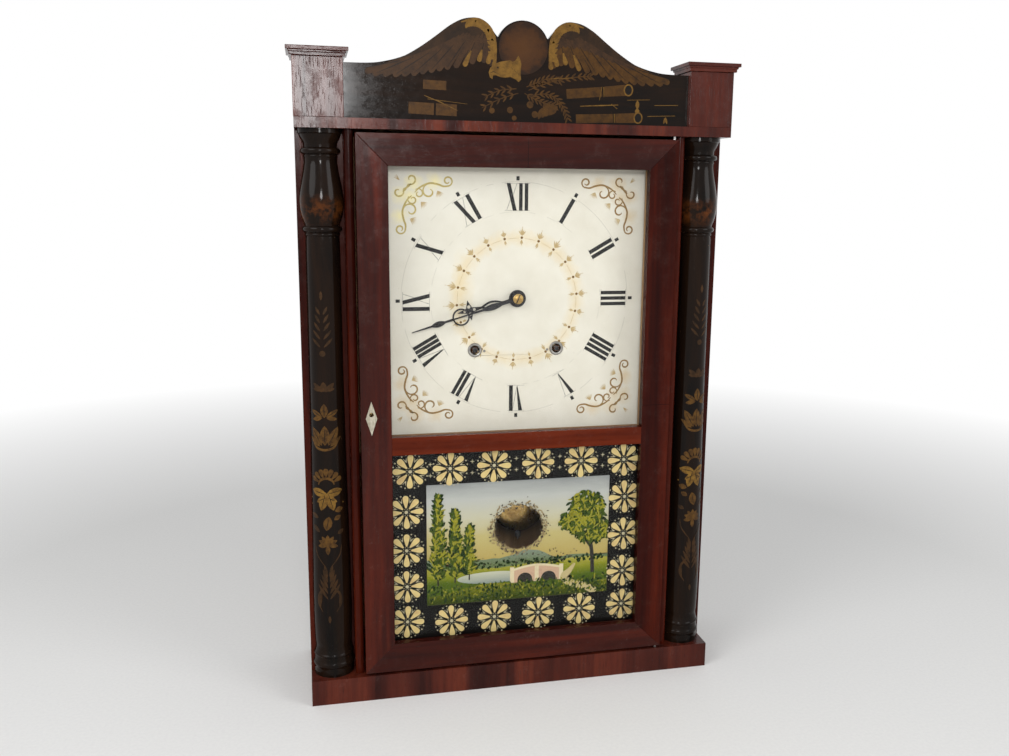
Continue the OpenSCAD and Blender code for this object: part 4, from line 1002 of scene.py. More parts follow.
thick_strokes = []
thin_strokes = []
for hour in range(1, 13):
    thick, thin = numeral(hour)
    thick_strokes += thick
    thin_strokes += thin
    thick_strokes.append(turned(bar_at(0, *MARK), 30.0 * hour, RING_X, RING_Z))
on_dial("numerals", thick_strokes, numeral_black)
grey_hair = paint("numeral_hairs", (0.16, 0.155, 0.145), (0.48, 0.46, 0.41), 5.0, 0.65, 0.5)
on_dial("numeral_hairlines", thin_strokes, grey_hair, LEAF / 2)


# %% [markdown]
# Two fine circles guided the painter's numerals, with minute dots between them and the squares.
# A ring is drawn as short arcs, so the worn gaps can be left out.

# %% Fine circles and minute dots
def arc_strokes(radius, width, keep, seed, pieces=90):
    """Short arcs of a circle, of which a share is kept."""
    chance = random.Random(seed)
    made = []
    for k in range(pieces):
        if chance.random() > keep:
            continue
        line = spiral(RING_X, RING_Z, radius, k * 360 / pieces, 360 / pieces, 1.0, 3)
        made.append(stroke(line, width, 1.0, 1.0))
    return made


INNER_R = 88.6
OUTER_R = 118.2
MINUTE_R = 121.0
rings = arc_strokes(INNER_R, 0.22, 0.45, 3) + arc_strokes(OUTER_R, 0.28, 0.8, 4)
minute_dots = []
for minute in range(60):
    if minute % 5:
        minute_dots.append(disc(*polar((RING_X, RING_Z), MINUTE_R, minute * 6.0), 0.28, 6))
on_dial("fine_circles", rings + minute_dots, faded_line, LEAF / 2)


# %% [markdown]
# The inner ring has 22 raised gilt dots, each with faded sprigs that fan outwards and inwards.

# %% Ring of dots and sprigs
DOTS = 22
FIRST_DOT = 3.6
DOT_CENTRE = (HAND_X + 1.2, HAND_Z - 1.4)
dots = []
sprigs = []
chance = random.Random(11)
for k in range(DOTS):
    angle = FIRST_DOT + 360 / DOTS * k
    dots.append(disc(*polar(DOT_CENTRE, DOT_RING_R, angle), 1.35, 14))
    fade = chance.uniform(0.6, 1.0)
    for lean in (-38, -17, 0, 17, 38):
        length = (10.2 if lean == 0 else 7.8) * fade
        root = polar(DOT_CENTRE, DOT_RING_R + 2.0, angle)
        sprigs.append(leaf(*root, angle + lean, length, 1.35, 5))
        if abs(lean) < 30:
            root = polar(DOT_CENTRE, DOT_RING_R - 2.0, angle)
            sprigs.append(leaf(*root, angle + 180 + lean, length * 0.8, 1.1, 5))
    sprigs.append(disc(*polar(DOT_CENTRE, DOT_RING_R + 13.4 * fade, angle), 0.5, 6))
for arc in range(DOTS):
    begin = FIRST_DOT + 360 / DOTS * arc + 3.0
    line = spiral(*DOT_CENTRE, DOT_RING_R - 0.6, begin, 360 / DOTS - 6, 1.0, 5)
    sprigs.append(stroke(line, 0.35, 0.6, 0.6))
on_dial("gilt_sprigs", sprigs, sprig_tan, LEAF / 2)


DOT_HEIGHT = 0.35


def raised_dots(name, outlines, material):
    """Small domes: each outline is extruded and its top pulled in."""
    bm = sheet_of(outlines, DIAL_FACE, DOT_HEIGHT)
    tops = [face for face in bm.faces if face.calc_center_median().y < DIAL_FACE - 0.8 * DOT_HEIGHT]
    for face in tops:
        middle = face.calc_center_median()
        bmesh.ops.scale(bm, vec=(0.55, 1, 0.55), space=Matrix.Translation(-middle), verts=face.verts)
    end_in_metres(bm, name, material, "case", soft=False)


raised_dots("gilt_dots", dots, dot_brown)


# %% [markdown]
# Each corner has a scrolled spray: two S-scrolls that start from the corner's diagonal, small
# C-scrolls beside the corner itself, and fans of fine lines. Half of it is drawn once and
# mirrored across the diagonal, and that corner is then mirrored to the other three.

# %% Corner scrolls
SCROLLS = [
    (along([(103.5, 106.5), (98.6, 111.4), (89.0, 115.6), (80.5, 114.6), (74.8, 112.7), (69.0, 113.4)], 5),
     1.9, 0.5, 0.8),
    (spiral(71.0, 118.0, 5.0, 203, 400), 1.7, 0.8, 0.4),
    (spiral(89.2, 107.6, 7.4, 5, 330, 0.30, 22), 1.7, 0.5, 0.4),
    (spiral(99.6, 105.6, 5.0, 40, -380, 0.30), 1.5, 0.5, 0.4),
    (spiral(107.0, 119.4, 5.6, 150, 330, 0.32), 1.7, 0.6, 0.4),
    (along([(109.8, 114.5), (112.0, 110.0), (115.2, 107.2)], 4), 1.6, 0.6, 0.9),
]
FANS = [(81.0, 108.5, 205, 6), (97.5, 97.5, 225, 6), (118.0, 118.0, 45, 3)]
SIDE_FAN = 6


def across_diagonal(outlines):
    return [[(z, x) for x, z in outline][::-1] for outline in outlines]


def corner_outlines():
    """Scrolls and fans of one corner, as distances right and up of the ring's centre."""
    half = [stroke(*scroll) for scroll in SCROLLS]
    fans = []
    for x, z, towards, count in FANS:
        for k in range(count):
            angle = towards + (k - (count - 1) / 2) * 15
            fans.append(leaf(x, z, angle, 7.0, 0.8, 4))
    return half + across_diagonal(half), fans + across_diagonal(fans[:SIDE_FAN])


scrolls, fans = corner_outlines()
CORNERS = [("top_right", 1, 1), ("top_left", -1, 1), ("bottom_right", 1, -1), ("bottom_left", -1, -1)]
for corner, right, up in CORNERS:
    gilding = scroll_yellow if corner == "top_left" else scroll_tan
    placed = [[(RING_X + right * x, RING_Z + up * z) for x, z in outline] for outline in scrolls]
    on_dial("scroll_" + corner, placed, gilding)
    placed = [[(RING_X + right * x, RING_Z + up * z) for x, z in outline] for outline in fans]
    on_dial("fan_" + corner, placed, sprig_tan, LEAF / 2)


# %% [markdown]
# Small hardware on the dial: the brass end of the hands' pipe with its steel pin, and at each
# winding hole a pressed rim, a nail and the steel square that the key turns. They are turned or
# bent from wire, so they start as circles and cylinders with bevelled rims.

# %% Hand pin and winding holes
def bevel_edges(bm, edges, offset):
    bmesh.ops.bevel(bm, geom=edges, offset=offset, affect="EDGES", segments=2, profile=0.5, material=-1)


def closed_loop(bm, corners):
    """New corners, and the edges that join them to a ring."""
    verts = [bm.verts.new(corner) for corner in corners]
    return verts, [bm.edges.new((a, b)) for a, b in zip(verts, verts[1:] + verts[:1])]


def turned_disc(bm, x, y, z, radius, depth, rim, sides=28):
    """A disc facing the viewer, from y back by depth, with a rounded rim."""
    size = {"radius1": radius, "radius2": radius, "depth": depth, "segments": sides}
    verts = bmesh.ops.create_cone(bm, cap_ends=True, **size)["verts"]
    stand = Matrix.Translation((x, y + depth / 2, z)) @ Matrix.Rotation(math.radians(90), 4, "X")
    bmesh.ops.transform(bm, matrix=stand, verts=verts)
    front = {v for v in verts if abs(v.co.y - y) < TINY}
    bevel_edges(bm, [e for e in bm.edges if all(v in front for v in e.verts)], rim)


TINY = 1e-6
PIPE_END = extent("minute_wheel")[0].y
PIPE_R = 3.2
COLLET_R = 5.2


def cross_pin(name, y, length, radius, angle, material, body):
    """A tapered pin across the middle of the hands, at a clock angle."""
    bm = bmesh.new()
    bmesh.ops.create_cone(bm, cap_ends=True, radius1=radius, radius2=radius * 0.6, depth=length, segments=14)
    level = [e for e in bm.edges if abs(e.verts[0].co.z - e.verts[1].co.z) < TINY]
    bevel_edges(bm, level, radius * 0.25)
    stand = Matrix.Translation((HAND_X, y, HAND_Z)) @ Matrix.Rotation(math.radians(angle), 4, "Y")
    bmesh.ops.transform(bm, matrix=stand, verts=bm.verts)
    return end_in_metres(bm, name, material, body)


bm = bmesh.new()
turned_disc(bm, HAND_X, PIPE_END + 0.3, HAND_Z, COLLET_R, 0.85, 0.3)
end_in_metres(bm, "hand_collet", rubbed_brass, "minute")
bm = bmesh.new()
turned_disc(bm, HAND_X, PIPE_END - 0.15, HAND_Z, PIPE_R + 0.1, 0.5, 0.15, 20)
end_in_metres(bm, "pipe_end", old_brass, "minute")
cross_pin("hand_pin", PIPE_END - 0.45, 9.5, 0.55, 24, black_steel, "minute")
RIM_PROFILE = [
    (7.3, 24.95), (7.25, 24.35), (6.7, 23.8), (5.7, 23.65), (4.9, 24.0), (4.45, 24.9),
    (4.45, 25.6), (5.2, 25.6), (5.2, 24.12), (6.7, 24.12), (6.7, 24.95),
]
SQUARE_W = 5.8
SQUARE_Y = 24.2
SQUARE_LONG = 2.6
NAIL_OUT = 9.8
NAIL_DOWN = 1.2
TRAINS = ((-1, "strike"), (1, "time"))
hole = pivot("time_great_turn")
for side, train in TRAINS:
    bm = bmesh.new()
    verts, edges = closed_loop(bm, [(side * hole.x + r, y, hole.z) for r, y in RIM_PROFILE])
    bmesh.ops.spin(
        bm, geom=verts + edges, cent=(side * hole.x, 0, hole.z), axis=(0, 1, 0), angle=math.tau,
        steps=40, use_merge=True, use_duplicate=False)
    end_in_metres(bm, train + "_eyelet_rim", grey_steel, "case")
    bm = bmesh.new()
    bmesh.ops.create_cube(bm, size=1)
    size = Matrix.Diagonal((SQUARE_W, SQUARE_LONG, SQUARE_W, 1))
    stand = Matrix.Translation((side * hole.x, SQUARE_Y, hole.z))
    bmesh.ops.transform(bm, matrix=stand @ size, verts=bm.verts)
    bevel_edges(bm, [e for e in bm.edges if all(v.co.y < SQUARE_Y for v in e.verts)], 0.7)
    end_in_metres(bm, train + "_winding_square", black_steel, train + "_barrel")
for side, train in TRAINS:
    bm = bmesh.new()
    turned_disc(bm, side * (hole.x - NAIL_OUT), DIAL_FACE - 0.9, hole.z - NAIL_DOWN, 1.25, 0.9, 0.4, 14)
    end_in_metres(bm, train + "_eyelet_nail", grey_steel, "case")
print("hands' pipe ends at", round(PIPE_END, 2))


# %% [markdown]
# The lower door glass is a tablet: a picture painted on the back of the glass. The painter works
# from the front to the back, so the daisies and fine lines go on first, then the black ground,
# then the near parts of the picture, and the sky last. Each coat is its own thin sheet here, in
# that order behind the pane. The picture is a plain landscape of hills, a pond and a bridge.

# %% Coats of paint behind the glass
COAT = 0.06
COAT_THICK = COAT * 0.6
FRAME_IN = 130.7
OPEN_LOW = extent("door_bottom_rail")[1].z
OPEN_HIGH = extent("door_middle_rail")[0].z
BORDER_LAP = 1.2
LEFT, RIGHT, LOW, HIGH = (-95.7, 100.6, 95.0, 226.5)
WINDOW = (1.7, 175.0)
WINDOW_R = (26.5, 24.5)


def back_of(layer):
    return GLASS_BACK + COAT * (layer + 1)


def coat(name, outlines, layer, material):
    """A coat of paint behind the pane. Coats with higher numbers lie further back."""
    flat_leaf(name, outlines, back_of(layer), material, "door", COAT_THICK)


def block(x0, x1, z0, z1):
    return [(x0, z0), (x1, z0), (x1, z1), (x0, z1)]


def kept_in(outline, x0, x1, z0, z1):
    """An outline whose points are moved inside a rectangle."""
    return [(min(max(x, x0), x1), min(max(z, z0), z1)) for x, z in outline]


def graded(name, stops, low, high, patch, streak=(0.25, 1, 1)):
    """Paint whose tone follows height on the glass, from low to high, with brush marks."""
    material, tree, shader = new_material(name, Specular_IOR_Level=0.1)
    plain = place_of(tree)
    height = axis_of(tree, plain, "Z")
    share = spread(tree, height, low * MM, high * MM)
    marks = noise(tree, place_of(tree, streak), 60.0, 5.0, 0.65, 0.6)
    share = plus(tree, share, times(tree, minus(tree, marks, 0.5), patch * 4))
    gloss = spread(tree, marks, 0.3, 0.7, 0.45, 0.6)
    dress(tree, shader, ramp(tree, share, stops), gloss, bump(tree, marks, 0.2, 0.1))
    return material


ground_black = paint("ground_black", (0.0022, 0.0019, 0.0018), (0.0075, 0.0060, 0.0055), 14.0, 0.4, 0.4)
daisy_gold = paint("daisy_gold", (0.66, 0.51, 0.22), (0.50, 0.32, 0.14), 12.0, 0.5, 0.4)
daisy_white = paint("daisy_white", (0.52, 0.46, 0.30), (0.22, 0.18, 0.10), 5.0, 0.5, 0.45)
edge = FRAME_IN + BORDER_LAP
foot = OPEN_LOW - BORDER_LAP
top = OPEN_HIGH + BORDER_LAP
ground = [
    block(-edge, LEFT, foot, top), block(RIGHT, edge, foot, top),
    block(LEFT, RIGHT, foot, LOW), block(LEFT, RIGHT, HIGH, top),
]
coat("tablet_ground", ground, 1, ground_black)

# %% [markdown]
# Eighteen daisies go round the border. A daisy has eight petals, a centre dot ringed by eight
# tiny dots, and between the petals a forked sprig with a dot at each tip. Petals end at the edge
# of the black border, as the stencil's edge does.

# %% Daisies
DAISY_R = 18.2
PETAL_FROM = 4.7
DAISIES = [(-112, 242), (-71, 243), (-25, 244), (22, 244.5), (68.6, 244), (116, 243)]
DAISIES += [(-116.5, z) for z in (199, 157.6, 118, 79)]
DAISIES += [(118, z) for z in (201.5, 159.7, 117.4, 78.8)]
DAISIES += [(-70, 76), (-24, 76.5), (24, 77), (70, 77.5)]


def daisy(x, z, size, angle):
    """Petals and fine parts of a daisy. Radii are for a size of 1."""
    petals = []
    fine = [disc(x, z, 1.9 * size, 10)]
    for k in range(8):
        way = angle + 45 * k
        root = polar((x, z), PETAL_FROM * size, way)
        petals.append(petal(*root, way, (DAISY_R - PETAL_FROM) * size, 6.3 * size, 0.24, 5))
        way += 22.5
        fine.append(disc(*polar((x, z), 3.6 * size, way), 0.5 * size, 6))
        root = polar((x, z), 10.6 * size, way)
        for side in (-1, 1):
            tip, dot = turned([(side * 1.6, 15.4), (side * 2.2, 18.2)], way, x, z, size)
            fine.append(stroke([root, between(root, tip, 0.5), tip], 0.5 * size, 0.5, 1.0))
            fine.append(disc(*dot, 0.8 * size, 7))
        fine.append(stroke([root, polar((x, z), 13.4 * size, way)], 0.6 * size, 0.6, 0.8))
    return petals, fine


petals = []
fine_lines = []
chance = random.Random(5)
for x, z in DAISIES:
    made, fine = daisy(x, z, chance.uniform(0.95, 1.0), chance.uniform(-4, 4))
    petals += made
    fine_lines += fine
for first, second in zip(DAISIES[:5], DAISIES[1:6]):
    for up in (-6, 6):
        x, z = between(first, second, 0.5)
        fine_lines += [leaf(x, z + up - 2.5, 0, 5, 0.9, 4), leaf(x - 2.5, z + up, 90, 5, 0.9, 4)]
lap = 0.8
border = (-FRAME_IN - lap, FRAME_IN + lap, OPEN_LOW - lap, OPEN_HIGH + lap)
coat("daisy_petals", [kept_in(outline, *border) for outline in petals], 0, daisy_gold)
coat("daisy_sprigs", fine_lines, 0, daisy_white)


# %% [markdown]
# The sky is a sheet with a window left unpainted, through which the pendulum's bob shows. A sheet
# with a hole is two loops of equally many corners, joined by Bridge Edge Loops.

# %% Sky with its window
WINDOW_SIDES = 72
SKY_FOOT = 139.0


def square_loop(x0, x1, z0, z1, centre, count):
    """Points round a rectangle, each on a ray from the centre, with its corners among them."""
    loop = []
    for dx, dz in oval((0, 0), 1, 1, count):
        sides = ((x1 - centre[0], dx), (x0 - centre[0], dx), (z1 - centre[1], dz), (z0 - centre[1], dz))
        reach = min(side / way for side, way in sides if side * way > TINY)
        loop.append((centre[0] + dx * reach, centre[1] + dz * reach))
    for corner in block(x0, x1, z0, z1):
        nearest = min(range(count), key=lambda k: math.dist(loop[k], corner))
        loop[nearest] = corner
    return loop


def window_loop(scale, ragged, seed):
    chance = random.Random(seed)
    loop = []
    for x, z in oval((0, 0), *WINDOW_R, WINDOW_SIDES):
        size = scale * (1 + ragged * chance.uniform(-1, 1))
        loop.append((WINDOW[0] + x * size, WINDOW[1] + z * size))
    return loop


def holed_coat(name, outer, inner, layer, material):
    """A coat between two loops of equally many corners."""
    bm = bmesh.new()
    edges = []
    for loop in (outer, inner):
        edges += closed_loop(bm, [(x, back_of(layer), z) for x, z in loop])[1]
    bmesh.ops.bridge_loops(bm, edges=edges)
    thicken(bm, COAT_THICK)
    obj = end_in_metres(bm, name, material, "door", soft=False)
    print(name, len(obj.data.polygons), "faces")


SKY = [
    (0.0, (0.44, 0.33, 0.10)), (0.30, (0.49, 0.41, 0.17)), (0.55, (0.52, 0.49, 0.36)),
    (0.78, (0.46, 0.46, 0.43)), (1.0, (0.24, 0.25, 0.25)),
]
sky_paint = graded("sky_paint", SKY, 140, 228, 0.05)
outer = square_loop(LEFT - 0.5, RIGHT + 0.5, SKY_FOOT, HIGH + 0.5, WINDOW, WINDOW_SIDES)
holed_coat("painted_sky", outer, window_loop(1.0, 0.035, 8), 9, sky_paint)


# %% [markdown]
# The land is painted in flat coats with a wavy upper edge: far hills, a meadow, a pond, and a near
# bank. Foliage is hundreds of small leaf-shaped dabs in three greens.

# %% Hills, meadow, pond and bank
def rolling(x0, x1, z_low, crest, seed, steps=28, rough=0.8):
    """A strip of land whose upper edge follows a formula, with a slightly unsteady hand."""
    chance = random.Random(seed)
    top = []
    for k in range(steps + 1):
        x = x0 + (x1 - x0) * k / steps
        top.append((x, crest(x) + chance.uniform(-rough, rough)))
    return [(x0, z_low)] + [(x1, z_low)] + top[::-1]


HILL = [(0.2, (0.13, 0.17, 0.07)), (0.9, (0.20, 0.24, 0.18))]
MEADOW = [(0.1, (0.07, 0.11, 0.008)), (0.5, (0.22, 0.23, 0.015)), (0.95, (0.44, 0.38, 0.07))]
BANK = [(0.1, (0.035, 0.050, 0.004)), (0.5, (0.095, 0.110, 0.006)), (0.95, (0.25, 0.23, 0.018))]
POND = [(0.1, (0.22, 0.26, 0.24)), (0.9, (0.56, 0.54, 0.40))]
POND_AT = (-26, 121)
POND_R = (38, 6.5)
hill_paint = graded("hill_paint", HILL, 132, 150, 0.2)
meadow_paint = graded("meadow_paint", MEADOW, 112, 141, 0.2)
bank_paint = graded("bank_paint", BANK, 95, 118, 0.25)
pond_paint = graded("pond_paint", POND, 112, 131, 0.15, streak=(0.1, 1, 1))
stone_paint = paint("stone_paint", (0.55, 0.36, 0.24), (0.40, 0.24, 0.17), 8.0, 0.4, 0.5)
stone_light = paint("stone_light", (0.66, 0.56, 0.36), (0.50, 0.38, 0.25), 8.0, 0.4, 0.5)
arch_dark = paint("arch_dark", (0.030, 0.026, 0.022), (0.065, 0.050, 0.035), 8.0, 0.4, 0.5)
path_paint = paint("path_paint", (0.50, 0.40, 0.20), (0.36, 0.30, 0.11), 7.0, 0.4, 0.5)


def hill_line(x):
    return 142.5 + 4.5 * math.sin(x / 21 + 1.2) + 2.5 * math.sin(x / 9)


def meadow_line(x):
    return 134 + 2.6 * math.sin(x / 30 - 0.6)


def bank_line(x):
    return 109.5 + 5 * math.sin(x / 26 + 2.4)


coat("far_hills", [rolling(LEFT, RIGHT, 128, hill_line, 1)], 8, hill_paint)
coat("meadow", [rolling(LEFT, RIGHT, 100, meadow_line, 2)], 7, meadow_paint)
pond = []
for k in range(30):
    way = k * math.tau / 30
    pond.append((POND_AT[0] - POND_R[0] * math.cos(way), POND_AT[1] + POND_R[1] * math.sin(way)))
coat("pond", [pond], 6, pond_paint)
coat("near_bank", [rolling(LEFT, RIGHT, LOW, bank_line, 4, rough=0.5)], 4, bank_paint)
path = along([(88, 95.4), (76, 103), (60, 108), (52, 115), (58, 122), (64, 130)], 5)
coat("path", [stroke(path, 8.0, 1.0, 0.25)], 3, path_paint)

# %% [markdown]
# A two-arched stone bridge crosses the pond's end, in the pink and cream of old brick.

# %% Bridge
BRIDGE_X = 22.0
BRIDGE_Z = 113.0
HALF_SPAN = 27
ARCH_R = (8.2, 8.0)
ARCH_RISE = 2.5
deck = []
for k in range(13):
    x = BRIDGE_X - HALF_SPAN + 2 * HALF_SPAN * k / 12
    deck.append((x, BRIDGE_Z + 13 + 4.5 * math.sin(k / 12 * math.pi)))
wall = [(BRIDGE_X - HALF_SPAN, BRIDGE_Z), (BRIDGE_X + HALF_SPAN, BRIDGE_Z)] + deck[::-1]
coat("bridge_wall", [wall], 5, stone_paint)
rail = stroke([(x, z + 1.0) for x, z in deck], 2.4, 1.0, 1.0)
piers = []
for x in (BRIDGE_X - HALF_SPAN, BRIDGE_X, BRIDGE_X + HALF_SPAN):
    piers.append(block(x - 2.2, x + 2.2, BRIDGE_Z, BRIDGE_Z + 17.5))
coat("bridge_rail", [rail] + piers, 4, stone_light)
arches = []
for x in (BRIDGE_X - 13, BRIDGE_X + 13):
    arch = [(x + ARCH_R[0], BRIDGE_Z)]
    for k in range(13):
        way = k * math.pi / 12
        arch.append((x + ARCH_R[0] * math.cos(way), BRIDGE_Z + ARCH_RISE + ARCH_R[1] * math.sin(way)))
    arches.append(arch + [(x - ARCH_R[0], BRIDGE_Z)])
coat("bridge_arches", arches, 3, arch_dark)


# %% Foliage
def dabs(count, seed, inside, lean, length, width):
    """Small dabs of the brush in a region. inside gives a point from two chances."""
    chance = random.Random(seed)
    made = []
    for _ in range(count):
        x, z = inside(chance)
        angle = lean + chance.uniform(-65, 65)
        size = chance.uniform(0.7, 1.25)
        made.append(leaf(x, z, angle, length * size, width * size, 4))
    return [kept_in(outline, LEFT, RIGHT, LOW, HIGH) for outline in made]


def in_oval(cx, cz, rx, rz):
    def inside(chance):
        angle = chance.uniform(0, math.tau)
        reach = math.sqrt(chance.random())
        return cx + rx * reach * math.cos(angle), cz + rz * reach * math.sin(angle)
    return inside


def in_spire(cx, z_low, z_high, half):
    def inside(chance):
        share = chance.random()
        width = half * min(1.0, 0.35 + 3 * share) * (1 - share) ** 0.85
        return cx + chance.uniform(-width, width), z_low + (z_high - z_low) * share
    return inside


def in_strip(z_low, z_high):
    return lambda chance: (chance.uniform(LEFT, RIGHT), chance.uniform(z_low, z_high))


green_dark = paint("green_dark", (0.010, 0.026, 0.005), (0.030, 0.048, 0.007), 5.0, 0.4, 0.45)
green_middle = paint("green_middle", (0.050, 0.080, 0.008), (0.12, 0.14, 0.012), 5.0, 0.4, 0.45)
green_light = paint("green_light", (0.27, 0.25, 0.020), (0.44, 0.38, 0.040), 5.0, 0.4, 0.45)
TREES = [
    ("poplar_a", in_spire(-84, 122, 212, 9.5), 330, 0),
    ("poplar_b", in_spire(-66, 124, 195, 8.5), 260, 0),
    ("poplar_c", in_spire(-51, 126, 177, 7.0), 180, 0),
    ("oak_low", in_oval(82, 170, 20, 15), 260, 180),
    ("oak_top", in_oval(76, 193, 19, 19), 340, 180),
    ("oak_side", in_oval(60, 180, 12, 10), 140, 180),
]
trunks = [
    stroke(along([(84, 118), (83, 140), (80, 158), (76, 176)], 4), 4.2, 1.0, 0.4),
    stroke(along([(82, 146), (72, 160), (62, 172)], 4), 2.0, 1.0, 0.3),
    stroke(along([(82, 150), (90, 164), (94, 176)], 4), 1.8, 1.0, 0.3),
    block(-85, -83.2, 116, 132), block(-66.9, -65.2, 118, 134), block(-51.8, -50.4, 120, 134),
]
coat("tree_trunks", trunks, 6, arch_dark)
for index, (name, inside, count, lean) in enumerate(TREES):
    coat(name + "_shade", dabs(count, 40 + index, inside, lean, 6.5, 2.8), 5, green_dark)
    coat(name + "_leaves", dabs(int(count * 0.5), 60 + index, inside, lean, 6.2, 2.1), 3, green_middle)
    coat(name + "_light", dabs(int(count * 0.28), 80 + index, inside, lean + 20, 5.6, 1.7), 2, green_light)
TUFTS = [
    ("bank_tufts", (260, 21, in_strip(LOW, 114), 0, 4.2, 1.5), 2, green_middle),
    ("bank_shade", (200, 22, in_strip(LOW, 114), 10, 4.4, 2.0), 2, green_dark),
    ("bank_light", (130, 23, in_strip(LOW, 114), -10, 3.2, 1.2), 2, green_light),
    ("shore_bushes", (150, 24, in_strip(130, 136.5), 0, 4.2, 2.4), 6, green_dark),
]
for name, brush, layer, green in TUFTS:
    coat(name, dabs(*brush), layer, green)

# %% [markdown]
# Round the window the painter laid a wreath of gilt leaves and dots. It has come away in places,
# and flecks of the black backing show in the sky near it, so the leaves are placed at random from
# a fixed seed.

# %% Wreath and worn flecks
chance = random.Random(77)
wreath = []
flecks = []
for k in range(150):
    angle = 360 * k / 150 + chance.uniform(-2, 2)
    reach = chance.uniform(0.97, 1.17)
    x = WINDOW[0] + WINDOW_R[0] * reach * math.sin(math.radians(angle))
    z = WINDOW[1] + WINDOW_R[1] * reach * math.cos(math.radians(angle))
    lean = angle + 90 + chance.uniform(-50, 50)
    if chance.random() < 0.72:
        wreath.append(leaf(x, z, lean, chance.uniform(2.8, 5.2), chance.uniform(1.1, 2.1), 4))
    else:
        wreath.append(disc(x, z, chance.uniform(0.5, 0.9), 7))
    if chance.random() < 0.75:
        spot = (x + chance.gauss(0, 3.0), z + chance.gauss(0, 3.0), chance.uniform(0, 360))
        flecks.append(leaf(*spot, chance.uniform(1.4, 3.2), chance.uniform(0.9, 1.8), 4))
for k in range(70):
    spot = (chance.uniform(-45, 72), chance.uniform(133, 149), chance.uniform(0, 360))
    flecks.append(leaf(*spot, chance.uniform(1.2, 2.6), chance.uniform(0.8, 1.6), 4))
wreath_gilt = paint("wreath_gilt", (0.33, 0.245, 0.125), (0.13, 0.085, 0.045), 3.0, 0.6, 0.4, 0.2)
fleck_dark = paint("fleck_dark", (0.060, 0.045, 0.035), (0.16, 0.12, 0.08), 3.0, 0.5, 0.6)
coat("window_wreath", wreath, 1, wreath_gilt)
coat("worn_flecks", flecks, 0, fleck_dark)


# %% [markdown]
# The half columns carry stencilled sprays in bronze powder. A stencil is cut flat and bent round
# the shaft, so each shape is drawn flat, in distance round the shaft and height, then cut into
# narrow strips and wrapped on the radius that the column has at that height. The radius is
# measured on the CAD mesh with a ray.

# %% Wrapping a flat shape on a column
COLUMN_R = extent("column_boards")[0].y - column_low.y
COLUMN_X = column_high.x - COLUMN_R
COLUMN_Y = extent("column_boards")[0].y
STRIP_MM = 1.6
RUNG_MM = 4.0
mesh = nodes["columns"].data
column_tree = BVHTree.FromPolygons([v.co for v in mesh.vertices], [p.vertices for p in mesh.polygons])


def shaft_radius(z):
    hit = column_tree.ray_cast(at(COLUMN_X, COLUMN_Y - 60, z), Vector((0, 1, 0)))[0]
    return COLUMN_Y - (hit.y / MM - FRONT_Y)


def wrapped(name, outlines, side, material, lift):
    """Outlines in millimetres round and up a column, as a thin sheet on its surface."""
    bm = bmesh.new()
    for outline in outlines:
        bm.faces.new([bm.verts.new((u, 0, z)) for u, z in outline])
    bmesh.ops.triangulate(bm, faces=bm.faces[:])
    us = [v.co.x for v in bm.verts]
    zs = [v.co.z for v in bm.verts]
    for values, step, way in ((us, STRIP_MM, (1, 0, 0)), (zs, RUNG_MM, (0, 0, 1))):
        for k in range(math.ceil(min(values) / step), math.floor(max(values) / step) + 1):
            spot = tuple(value * k * step for value in way)
            geometry = bm.verts[:] + bm.edges[:] + bm.faces[:]
            bmesh.ops.bisect_plane(bm, geom=geometry, plane_co=spot, plane_no=way)
    lifted = set(thicken(bm))
    radii = {}
    for vert in bm.verts:
        step = round(vert.co.z / RUNG_MM * 2)
        if step not in radii:
            radii[step] = shaft_radius(step * RUNG_MM / 2)
        radius = radii[step] + lift + (LEAF if vert in lifted else 0.0)
        angle = vert.co.x / radii[step]
        vert.co = (side * COLUMN_X + radius * math.sin(angle), COLUMN_Y - radius * math.cos(angle), vert.co.z)
    obj = end_in_metres(bm, name, material, "case", soft=False)
    print(name, len(obj.data.polygons), "faces")


print("column radius", round(shaft_radius(200), 2), "to", round(shaft_radius(420), 2))

# %% [markdown]
# The pattern, from the bottom: a palm spray with curls, a star flower, leaf groups, a wide pair
# of bright leaves under a crown of petals, a large three-petal flower, two buds with leaves, and
# a faint spray at the top. Powder was dusted on unevenly, so there are three strengths of it. Dark
# veins run down the largest leaves.

# %% Column stencils
def bronze(name, bright, dark, patch):
    return paint(name, bright, dark, patch, 0.75, 0.42, 0.12)


bronze_bright = bronze("bronze_bright", (0.205, 0.110, 0.021), (0.060, 0.028, 0.008), 5.0)
bronze_middle = bronze("bronze_middle", (0.105, 0.050, 0.011), (0.026, 0.012, 0.005), 5.0)
bronze_faint = bronze("bronze_faint", (0.050, 0.023, 0.008), (0.014, 0.008, 0.004), 8.0)
dark_line = paint("crest_dark", (0.0055, 0.0040, 0.0032), (0.018, 0.010, 0.006), 6.0, 0.4, 0.35)


def plump(x, z, angle, length, width):
    """A broad leaf with its widest part past the middle."""
    return leaf(x, z, angle, length, width, 9)


def vein(x, z, angle, length):
    """A dark line down the middle of a leaf."""
    return stroke([polar((x, z), share * length, angle) for share in (0.1, 0.45, 0.82)], 0.8, 0.3, 0.3)


